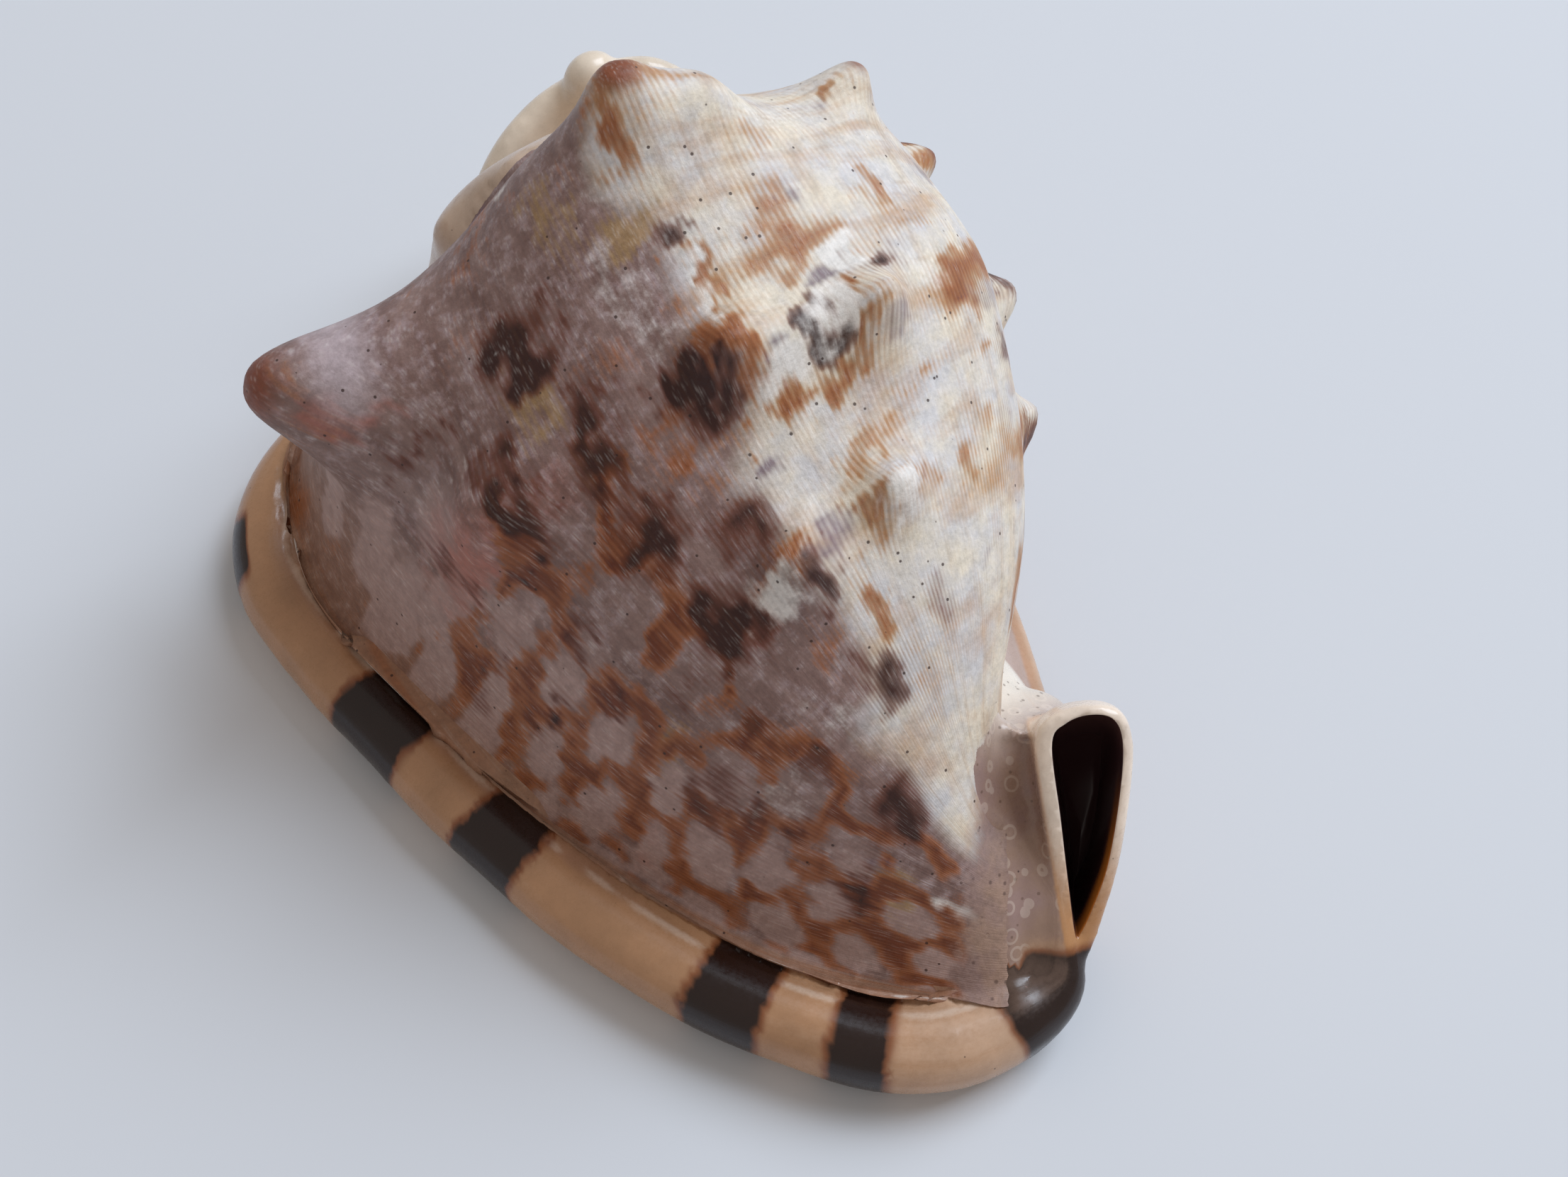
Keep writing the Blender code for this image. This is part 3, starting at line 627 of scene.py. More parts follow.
# Colours, as fields on the points that the materials read.
paint = {
    # spots read off the photograph, some then moved or resized: x, y, half width and
    # half height in the photograph's pixels, and strength
    "rust": ((376, 542, 50, 44, 1), (442, 608, 44, 15, 0.5), (664, 342, 18, 44, 0.6),
        (641, 387, 13, 15, 0.5), (712, 278, 11, 20, 0.5), (578, 409, 11, 55, 0.4), (846, 144, 33, 61, 1),
        (874, 91, 33, 20, 0.9), (962, 107, 28, 9, 0.3), (796, 227, 13, 33, 0.4), (990, 382, 11, 53, 0.8),
        (946, 415, 15, 39, 0.7), (664, 487, 33, 33, 0.5), (774, 520, 28, 33, 0.4),
        (857, 498, 44, 28, 0.6), (885, 531, 33, 22, 0.4), (1029, 470, 24, 18, 0.9),
        (1001, 470, 22, 15, 0.8), (1045, 520, 15, 44, 0.8), (1067, 487, 24, 18, 0.9),
        (1106, 592, 11, 27, 1), (1095, 559, 11, 13, 0.7), (1172, 542, 55, 14, 0.8),
        (1139, 564, 22, 13, 0.6), (940, 597, 66, 20, 0.7), (1228, 260, 11, 29, 0.6),
        (1078, 288, 24, 33, 0.6), (1106, 343, 66, 20, 0.6), (1073, 382, 33, 15, 0.5),
        (1150, 337, 44, 13, 0.5), (1272, 321, 66, 11, 0.3), (1211, 389, 24, 7, 0.9),
        (1228, 453, 22, 13, 0.7), (1200, 478, 18, 9, 0.9), (1250, 409, 13, 28, 0.4),
        (1355, 371, 24, 18, 0.8), (1352, 409, 24, 31, 1), (1062, 194, 18, 18, 0.3),
        (1311, 221, 31, 13, 0.9), (1189, 111, 22, 11, 0.8), (1300, 525, 33, 15, 0.5),
        (1388, 492, 18, 11, 0.5), (1394, 575, 22, 20, 0.4), (1439, 619, 22, 28, 0.5),
        (973, 655, 46, 29, 0.9), (1045, 614, 20, 15, 0.7), (1228, 628, 50, 11, 0.5),
        (1244, 717, 33, 22, 0.62), (1211, 724, 15, 15, 0.6), (1283, 664, 27, 9, 0.4),
        (1311, 672, 18, 15, 0.4), (1371, 647, 13, 18, 0.5), (1239, 849, 15, 38, 0.8),
        (1327, 874, 22, 38, 0.3), (1117, 774, 27, 15, 0.8), (1084, 807, 33, 22, 0.6),
        (1040, 719, 22, 22, 0.5), (1139, 824, 11, 15, 0.7), (1178, 898, 27, 29, 0.6),
        (1172, 940, 13, 31, 0.6), (1311, 968, 22, 31, 0.3), (1228, 1001, 13, 15, 0.5),
        (962, 935, 28, 13, 1), (940, 879, 29, 22, 0.8), (1029, 885, 55, 55, 0.7),
        (708, 708, 33, 61, 0.7), (691, 791, 24, 13, 0.9), (752, 807, 38, 18, 1), (735, 835, 13, 22, 0.7),
        (852, 713, 22, 49, 1), (846, 653, 22, 33, 0.7), (907, 774, 66, 44, 0.6), (525, 843, 31, 9, 0.9),
        (559, 890, 11, 29, 0.8), (619, 921, 27, 18, 1.1), (653, 951, 13, 27, 0.8),
        (426, 708, 20, 38, 0.8), (465, 769, 15, 29, 0.5), (719, 973, 33, 11, 0.8),
        (780, 1023, 22, 15, 1.1), (813, 924, 13, 22, 0.9), (874, 990, 15, 29, 0.9),
        (940, 1051, 33, 33, 0.5), (885, 1040, 11, 33, 0.8), (846, 1095, 15, 27, 1.1),
        (818, 1139, 9, 29, 0.7), (868, 1145, 9, 29, 0.8), (918, 1128, 22, 27, 0.9),
        (940, 1161, 44, 11, 0.9), (730, 1073, 9, 40, 0.6), (1029, 1172, 44, 15, 0.7),
        (1078, 1272, 24, 24, 0.8), (1117, 1305, 33, 22, 0.7), (1062, 1034, 29, 27, 0.9),
        (1106, 1051, 27, 18, 0.6), (1172, 1128, 27, 44, 0.8), (1200, 1150, 40, 22, 0.7),
        (1316, 1206, 13, 29, 0.8), (1250, 1264, 55, 11, 0.9), (1305, 1294, 27, 22, 0.7),
        (1283, 1344, 66, 22, 0.9), (1189, 1305, 66, 29, 0.6), (1360, 1316, 22, 33, 0.5)),
    # the dark spots at 968, 542, at 935, 570 and at 1029, 885 are partly brown and partly painted shadow on
    # the left sides of knobs
    "chocolate": ((724, 487, 46, 35, 0.9), (741, 520, 27, 27, 0.9), (835, 586, 24, 29, 1),
        (832, 625, 13, 22, 0.8), (946, 332, 24, 13, 0.7), (968, 542, 25, 29, 1.2),
        (935, 570, 26, 13, 0.8), (1023, 575, 29, 22, 0.8), (1167, 476, 22, 22, 0.9),
        (1150, 453, 13, 22, 0.6), (1237, 371, 22, 17, 0.9), (708, 708, 27, 61, 1.2),
        (664, 664, 18, 15, 0.6), (614, 603, 33, 9, 0.6), (575, 653, 44, 9, 0.5),
        (1029, 885, 38, 40, 1.1), (918, 774, 44, 33, 0.9), (1056, 747, 33, 38, 0.7),
        (1156, 802, 20, 38, 0.8), (758, 807, 27, 11, 0.8), (1250, 953, 29, 29, 0.7),
        (830, 898, 22, 15, 0.7), (641, 807, 15, 55, 0.6), (686, 962, 44, 15, 0.6),
        (780, 1001, 22, 11, 0.8), (874, 995, 9, 20, 0.6), (924, 1123, 13, 15, 0.5),
        (1261, 1145, 33, 27, 0.9), (1300, 1175, 24, 9, 0.9), (1206, 1250, 44, 8, 0.7),
        (1012, 1117, 40, 22, 0.6), (1150, 1075, 24, 24, 0.7), (1062, 1029, 18, 22, 0.5),
        (1128, 1181, 29, 13, 0.6), (1078, 1156, 22, 13, 0.5), (962, 973, 33, 15, 0.4),
        (1001, 509, 21, 18, 0.8), (846, 686, 21, 42, 0.8)),
    "violet": ((1150, 395, 29, 20, 0.8), (1115, 282, 20, 20, 0.6), (1095, 470, 20, 13, 0.7),
        (1161, 144, 31, 13, 0.5), (1228, 553, 29, 13, 0.3), (1272, 431, 22, 15, 0.5),
        (1078, 660, 27, 20, 0.8), (1172, 763, 33, 18, 0.6), (1327, 852, 24, 38, 0.5),
        (1399, 791, 11, 24, 0.5), (1311, 669, 11, 11, 0.5), (1239, 1233, 27, 11, 0.7),
        (1250, 953, 33, 33, 0.4), (1194, 735, 27, 27, 0.4), (1400, 414, 24, 24, 0.5),
        (1422, 574, 13, 40, 0.4), (619, 774, 22, 66, 0.4)),
    # the pale spot at 470, 525 is partly bleached and partly a painted highlight on the big horn, and the one
    # at 1095, 843 is partly pale shell and partly a painted highlight on a knob's lit side
    "bleached": ((470, 525, 27, 31, 0.3), (1189, 359, 22, 18, 1.1), (1189, 431, 33, 33, 1.2),
        (1106, 511, 46, 33, 1.1), (1095, 843, 35, 29, 1.1), (1283, 672, 38, 15, 1.1),
        (1288, 708, 18, 22, 0.9), (863, 387, 29, 66, 0.5), (929, 476, 22, 44, 0.4),
        (973, 382, 8, 51, 0.8), (1001, 437, 13, 13, 0.7), (1183, 1018, 40, 33, 0.6),
        (1018, 332, 44, 55, 0.3), (708, 511, 9, 9, 0.6), (1363, 1288, 11, 33, 0.8),
        (1366, 1338, 9, 18, 0.6), (1097, 166, 66, 22, 0.6), (1305, 376, 33, 28, 0.6),
        (1283, 476, 33, 33, 0.3), (1128, 619, 66, 33, 0.4), (1106, 1117, 44, 40, 0.5),
        (653, 664, 11, 40, 0.5), (619, 735, 9, 44, 0.4)),
    "ochre": ((763, 299, 24, 49, 0.7), (874, 321, 40, 24, 0.9), (896, 343, 27, 15, 0.7),
        (929, 282, 15, 11, 0.4), (752, 575, 38, 33, 0.8), (719, 553, 22, 13, 0.5),
        (940, 1051, 27, 27, 0.8), (1272, 1274, 29, 9, 0.9), (846, 653, 18, 33, 0.5),
        (1288, 940, 33, 55, 0.3)),
    "rose": ((487, 586, 66, 27, 0.8), (442, 575, 33, 33, 0.5), (664, 796, 51, 40, 0.8),
        (1062, 874, 22, 27, 0.7), (774, 686, 55, 55, 0.3), (619, 752, 55, 33, 0.4),
        (907, 1206, 33, 29, 0.4)),
    # pale tongues, read in the same way, without a strength
    "tongues": ((658, 802, 50, 44), (619, 857, 55, 29), (633, 718, 66, 46), (551, 868, 55, 38),
        (525, 774, 55, 33), (470, 702, 55, 27), (692, 990, 36, 27), (670, 1034, 32, 29),
        (1029, 796, 44, 44), (873, 883, 60, 51), (791, 962, 38, 33), (769, 1064, 38, 28),
        (982, 951, 33, 34), (858, 1044, 40, 31), (841, 1150, 34, 31), (1082, 951, 40, 48),
        (946, 1117, 36, 28), (911, 1212, 34, 33), (1024, 1097, 38, 36), (997, 1213, 40, 33),
        (1199, 1020, 43, 36), (1130, 1107, 39, 34), (1087, 1223, 36, 32)),
    # added, given on the rib: growth angle, place on the rib, half width in degrees, half height on the rib,
    # strength
    "rustAdded": ((101, 0.53, 4, 0.014, 0.8), (22, 0.6, 5, 0.012, 0.7)),
    "tonguesAdded": ((137, 0.548, 6.2, 0.025), (162, 0.58, 7, 0.014), (187, 0.55, 11, 0.014),
        (200, 0.65, 14, 0.011), (200, 0.745, 9, 0.012), (188, 0.785, 9, 0.012), (136, 0.81, 7, 0.011),
        (155, 0.815, 7, 0.011), (172, 0.81, 6.5, 0.011), (190, 0.825, 9, 0.011), (147, 0.846, 9, 0.011),
        (168, 0.85, 6, 0.013), (184, 0.862, 7, 0.011), (205, 0.69, 8, 0.01), (205, 0.8, 8, 0.011),
        (207, 0.86, 7, 0.01)),
    # horn and knob tips: angle, place, reach in millimetres, strength, and the painted highlight beyond the
    # tip on its lit side
    "tips": ((159, 0.38, 6.0, 1.0, 0.9), (94, 0.29, 4.2, 0.9, 0), (80, 0.30, 3, 0.5, 0),
             (46, 0.30, 2.6, 0.7, 0), (4, 0.35, 3.2, 1, 0), (5, 0.58, 3.4, 0.6, 0),
             (5, 0.70, 3.4, 0.6, 0), (-30, 0.33, 4, 0.9, 0)),
    "wander": (2.1, 0.009),     # how far the spots' edges wander: degrees, place
    "creamFrom": 116.0, "creamTo": 88.0,
    "unseenSpots": {"rust": 46, "chocolate": 10, "violet": 12, "bleached": 10, "ochre": 8},
    "unseenBands": (0.31, 0.45, 0.56, 0.64, 0.72, 0.8),     # places on the rib that they gather at
    "shoulderSpots": {"rust": 34, "chocolate": 8, "violet": 10, "bleached": 8},
}


def wander(points, size, seed):
    # A smooth number from about -1 to 1 for each point, its waves about this many millimetres.
    rng = np.random.default_rng(seed)
    total = np.zeros(len(points))
    for i in range(7):
        way = rng.normal(size=3)
        way *= 2 * math.pi / size * rng.uniform(0.7, 1.6) / np.linalg.norm(way)
        total += np.sin(points @ way + rng.uniform(0, 2 * math.pi))
    return total / 3


def paleNeck(points):
    # The neck is paler on its right side and towards the body.
    return ease((points[:, 1] + 39) / 14) * ease((points[:, 0] - 2) / 8)


def paintBack():
    mesh = backPiece.data
    points = meshPoints(mesh)
    angle, place = backFields["growthAngle"], backFields["place"]
    bend, shift = paint["wander"]
    angleHere = angle + bend * (wander(points, 7, 1) + 0.6 * wander(points, 3, 2))
    placeHere = place + shift * (wander(points, 8, 3) + 0.6 * wander(points, 3, 4))
    fields = {}
    rng = np.random.default_rng(7)
    for kind in ("rust", "chocolate", "violet", "bleached", "ochre", "rose"):
        rest = np.ones(len(points))
        spots = castSpots(paint[kind]) + list(paint.get(kind + "Added", ()))
        for i in range(paint["unseenSpots"].get(kind, 0)):     # the side that the photograph hides
            spots.append((rng.uniform(-36, 40), rng.choice(paint["unseenBands"]) + rng.normal() * 0.012,
                          rng.uniform(2, 6), rng.uniform(0.006, 0.018), rng.uniform(0.4, 0.9)))
        for i in range(paint["shoulderSpots"].get(kind, 0)):   # and the slope up to the spire
            spots.append((rng.uniform(-36, 220), rng.uniform(0.02, 0.27), rng.uniform(2, 5),
                          rng.uniform(0.01, 0.03), rng.uniform(0.3, 0.8)))
        for a, p, across, along, strength in spots:
            d = ((angleHere - a) / across) ** 2 + ((placeHere - p) / along) ** 2
            rest *= 1 - np.minimum(strength * np.exp(-0.7 * d), 0.98)
        fields[kind] = 1 - rest
    inside, rim = np.zeros(len(points)), np.zeros(len(points))
    softAngle, softPlace = 0.6 * angle + 0.4 * angleHere, 0.6 * place + 0.4 * placeHere
    for a, p, across, along in castSpots(paint["tongues"]) + list(paint["tonguesAdded"]):
        d = np.sqrt(((softAngle - a) / across) ** 2 + ((softPlace - p) / along) ** 2)
        beyond = (d - 1.25) * min(0.75 * across, 120 * along)       # millimetres outside the tongue
        older = ease(0.55 - 0.55 * (angleHere - a) / across)
        inside = np.maximum(inside, ease(0.25 - beyond / 1.0))
        rim = np.maximum(rim, np.exp(-((beyond - 0.6) / 0.75) ** 2) * older)
    patchy = ease(0.42 + 0.6 * wander(points, 9, 6))
    between = ease((angle - 122) / 16) * ease((place - 0.5) / 0.06) * ease((0.895 - place) / 0.02)
    between = between * ease((214 - angle) / 14)
    fields["rust"] = np.maximum(0.8 * fields["rust"], (0.04 + 0.4 * patchy) * between)
    fields["rust"] = np.clip(fields["rust"] * (1 - 0.85 * inside) + 0.6 * rim * between * (1 - inside), 0, 1)
    fields["chocolate"] *= 1 - 0.35 * inside
    fields["tongue"] = inside * ease((angle - 138) / 34)
    slope = angle + 5 * wander(points, 30, 5) - 95 * np.clip(place - 0.63, 0, 0.22)
    fields["cream"] = ease((paint["creamFrom"] - slope) / (paint["creamFrom"] - paint["creamTo"]))
    fields["hatch"] = fields["rust"] * (0.15 + 0.85 * fields["cream"])
    tips, pale = np.zeros(len(points)), np.zeros(len(points))
    for a, p, reach, strength, paler in paint["tips"]:
        tip = points[np.argmin(((angle - a) / 4) ** 2 + ((place - p) / 0.02) ** 2)]
        away = np.linalg.norm(points - tip, axis=1)
        tips = np.maximum(tips, strength * np.exp(-(away / reach) ** 2))
        # painted highlight: a pale ring round the horn's tip, on the side that faces the light
        pale = np.maximum(pale, paler * np.exp(-((away - 2.2 * reach) / (0.9 * reach)) ** 2) * ease(
            0.5 + (points - tip) @ np.array((0.5, 0.2, 0.8)) / (2 * reach)))
    fields["tip"], fields["tipPale"] = tips, pale
    fields["rust"] *= 1 - np.clip(pale + tips, 0, 1)
    fields["neck"] = ease((place - 0.855) / 0.05)
    fields["neckPale"] = paleNeck(points)
    fields["warm"] = 0.8 * ease((angle - 150) / 40) * ease((0.7 - place) / 0.1)
    fields["flange"] = ease((angle - 192) / 24)
    fields["wornEdge"] = np.exp(-((angle - 218.6) / 1.1) ** 2) * ease(0.5 + wander(points, 6, 9))
    for name, values in fields.items():
        setField(mesh, name, values)


paintBack()
print("back painted")

rim = {
    # start and end along the lip in millimetres, from where round the lip, degrees from the top
    "bars": ((45.5, 54, 30), (79, 92, -90), (105.5, 116, -90), (145, 155, -90), (164.5, 172, -90),
             (189, 203, -90)),
}


def paintCallus():
    mesh = callusPiece.data
    points = callusPoints
    path = smoothCurve(np.array(callus["lip"], float), np.linspace(0, 1, 500))
    step = np.linalg.norm(np.diff(path[:, :3], axis=0), axis=1)
    run = np.append(0, np.cumsum(step))
    gap = np.full(len(points), 1e9)
    nearest = np.zeros(len(points), int)
    for i, spot in enumerate(path):
        d = ((points - spot[:3]) ** 2).sum(1)
        closer = d < gap
        gap[closer], nearest[closer] = d[closer], i
    gap = np.sqrt(gap)
    along = run[nearest]
    way = np.gradient(path[:, :3], axis=0)
    out = np.column_stack([way[:, 1], -way[:, 0]]) / np.linalg.norm(way[:, :2], axis=1)[:, None]
    sign = -np.sign(((path[250, :2] - (-10, 10)) * out[250]).sum())
    off = points - path[nearest, :3]
    outwards = -sign * (off[:, :2] * out[nearest]).sum(1)
    around = np.degrees(np.arctan2(outwards, off[:, 2]))      # 0 on top, 90 on the outer side
    fields = {"alongLip": along, "aroundLip": around}
    lip = 1 - ease((gap - path[nearest, 3] - 2.0) / 2.5)
    lip = lip * (1 - ease((along - 201) / 6))
    wavy = along + 0.45 * wander(points, 16, 11) + 0.12 * wander(points, 5, 12)
    bars = np.zeros(len(points))
    for start, end, fromAngle in rim["bars"]:
        bar = ease((wavy - start) / 4.4 + 0.5) * ease((end - wavy) / 4.4 + 0.5)
        bars = np.maximum(bars, bar * ease((around - fromAngle) / 14 + 0.5))
    fields["bar"] = bars * lip
    fields["lip"] = lip
    fields["lipPale"] = lip * ease((along - 150) / 50)
    fields["flange"] = lip * ease((-around - 5) / 30) * ease((150 - along) / 40)
    fields["wornEdge"] = lip * np.exp(-((around + 32) / 8) ** 2) * ease(0.8 + 0.5 * wander(points, 9, 9))
    fields["barWorn"] = bars * lip * ease((along - 183) / 5) * ease((40 - around) / 40)
    local = points - np.array(spout["foot"], float)
    across, up = local @ spoutAcross, local @ np.array(spout["spine"])
    back = -(local @ np.array(spout["facing"]))
    fields["spoutUp"], fields["spoutAcross"], fields["spoutBack"] = up, across, back
    between = ease((11.5 - across) / 1.5) * ease((across + 3.6 - 0.05 * (30 - up)) / 1.2)
    fields["spout"] = ease((up - 1) / 3) * between * ease((14 - back) / 5) * ease((back + 4) / 2)
    fields["spoutPale"] = fields["spout"] * ease((up - 4) / 24)
    edge = closedCurve(callus["shield"], 200)
    fromEdge = np.full(len(points), 1e9)
    for spot in edge:
        fromEdge = np.minimum(fromEdge, ((points[:, :2] - spot) ** 2).sum(1))
    fromEdge = np.sqrt(fromEdge)
    shieldSide = ease((points[:, 0] - 8) / 8)
    fields["shield"] = shieldSide * (1 - ease((points[:, 2] - 13) / 6))
    fields["shieldRim"] = fields["shield"] * ease((3.6 - fromEdge) / 1.8)
    collarPath = smoothCurve(np.array(callus["collar"], float)[:, :3], np.linspace(0, 1, 200))
    fromCollar = np.full(len(points), 1e9)
    for spot in collarPath:
        fromCollar = np.minimum(fromCollar, ((points[:, :2] - spot[:2]) ** 2).sum(1))
    fields["collar"] = 1 - ease((np.sqrt(fromCollar) - 6) / 4)
    fields["neckPale"] = paleNeck(points)
    fields["under"] = 1 - ease((points[:, 2] - 3) / 4)
    fields["spire"] = ease((points[:, 1] - 15) / 12) * ease((points[:, 2] - 12) / 8)
    for name, values in fields.items():
        setField(mesh, name, values)
    inPocket = nearestOn(cutTrees[1], points)[0] - points
    inSlit = nearestOn(cutTrees[0], points)[0] - points
    inPocket, inSlit = (np.linalg.norm(d, axis=1) < 0.03 for d in (inPocket, inSlit))
    return inPocket, inSlit


inPocket, inSlit = paintCallus()
print("callus painted")


# Materials.
def colour(code):
    # sRGB hex to the linear numbers that the shader takes.
    parts = [int(code[i:i + 2], 16) / 255 for i in (1, 3, 5)]
    return tuple(c / 12.92 if c <= 0.04045 else ((c + 0.055) / 1.055) ** 2.4 for c in parts) + (1.0,)


def add(tree, kind, inputs=(), out=0, **settings):
    # One node with its settings and links, giving back the output that is asked for.
    full = kind if kind.startswith(("Geometry", "NodeGroup")) else "ShaderNode" + kind
    node = tree.nodes.new(full)
    for name, value in settings.items():
        setattr(node, name, value)
    for name, value in (inputs.items() if isinstance(inputs, dict) else enumerate(inputs)):
        if isinstance(value, bpy.types.NodeSocket):
            tree.links.new(value, node.inputs[name])
        else:
            node.inputs[name].default_value = value
    return node.outputs[out] if out is not None else node


def mix(tree, amount, below, above):
    return add(tree, "Mix", {0: amount, 6: below, 7: above}, out=2, data_type="RGBA")


def calc(tree, operation, *values):
    return add(tree, "Math", values, operation=operation)


def noise(tree, vector, scale, detail, roughness=0.5):
    values = {"Vector": vector, "Scale": scale, "Detail": detail, "Roughness": roughness}
    return add(tree, "TexNoise", values)


def remap(tree, *values, smooth=False):
    return add(tree, "MapRange", values, interpolation_type="SMOOTHSTEP" if smooth else "LINEAR")


def newMaterial(name):
    material = bpy.data.materials.new(name)
    material.use_nodes = True
    tree = material.node_tree
    return material, tree, tree.nodes["Principled BSDF"]


def layColours(tree, base, layers, read, look, breakUp, grooves):
    # Lay one colour after another where its field is strong, with edges broken by the noise.
    for name, tone, low, high, share, ragged, hatched in layers:
        value = calc(tree, "MULTIPLY_ADD", breakUp, ragged, read[name])
        value = calc(tree, "MULTIPLY_ADD", grooves, hatched, value)
        amount = remap(tree, value, low, high, 0.0, share, smooth=True)
        base = mix(tree, amount, base, look[tone])
    return base


# Worn aragonite, grown ridge by ridge and weathered: chalky on the cream side, waxy on the mauve.
backLook = {
    "mauve": "#967b73", "mauveDeep": "#765a54", "lilac": "#a89698", "warm": "#8f644a",
    "cream": "#e4d8c4", "creamCool": "#d3cfcd", "tan": "#c4a27c", "flange": "#a57c62",
    "tongue": "#ae9189", "rust": "#9c5a2d", "rustDeep": "#642c15", "chocolate": "#34150f",
    "violet": "#67505f", "bleached": "#ebe6df", "ochre": "#a08052", "rose": "#a9614f",
    # the pale colour by the horn's tip is a painted highlight
    "hatch": "#b4824c", "tip": "#7d4029", "tipPale": "#bfb0b4", "groove": "#8a5f3c", "neck": "#a18371",
    "neckPale": "#e9dfd0", "pin": "#3a241d",
}
backLayers = (
    # field, colour, from, to, most, how ragged, how much it keeps to the grooves
    ("warm", "warm", 0.0, 1.0, 0.75, 0.9, 0.0), ("tongue", "tongue", 0.1, 0.8, 0.8, 0.3, 0.0),
    ("flange", "flange", 0.2, 0.9, 0.85, 0.5, 0.0), ("rose", "rose", 0.05, 0.9, 0.75, 0.5, 0.0),
    ("ochre", "ochre", 0.1, 0.8, 0.75, 0.7, 0.2), ("hatch", "hatch", 0.06, 0.4, 0.75, 0.4, 0.12),
    ("rust", "rust", 0.2, 0.68, 0.86, 0.5, 0.09),
    ("rust", "rustDeep", 0.5, 1.05, 0.85, 0.7, 0.12), ("violet", "violet", 0.15, 0.8, 0.8, 0.5, 0.1),
    ("chocolate", "rustDeep", 0.05, 0.4, 0.75, 0.5, 0.1),
    ("chocolate", "chocolate", 0.25, 0.75, 0.96, 0.5, 0.06),
    ("bleached", "bleached", 0.25, 0.95, 0.85, 0.6, -0.05),
    # the pale layer by the horn's tip is a painted highlight
    ("tipPale", "tipPale", 0.1, 1.0, 0.75, 0.25, 0.0), ("tip", "tip", 0.2, 0.85, 0.92, 0.15, 0.0),
    ("wornEdge", "bleached", 0.3, 0.9, 0.7, 0.8, 0.0),
)


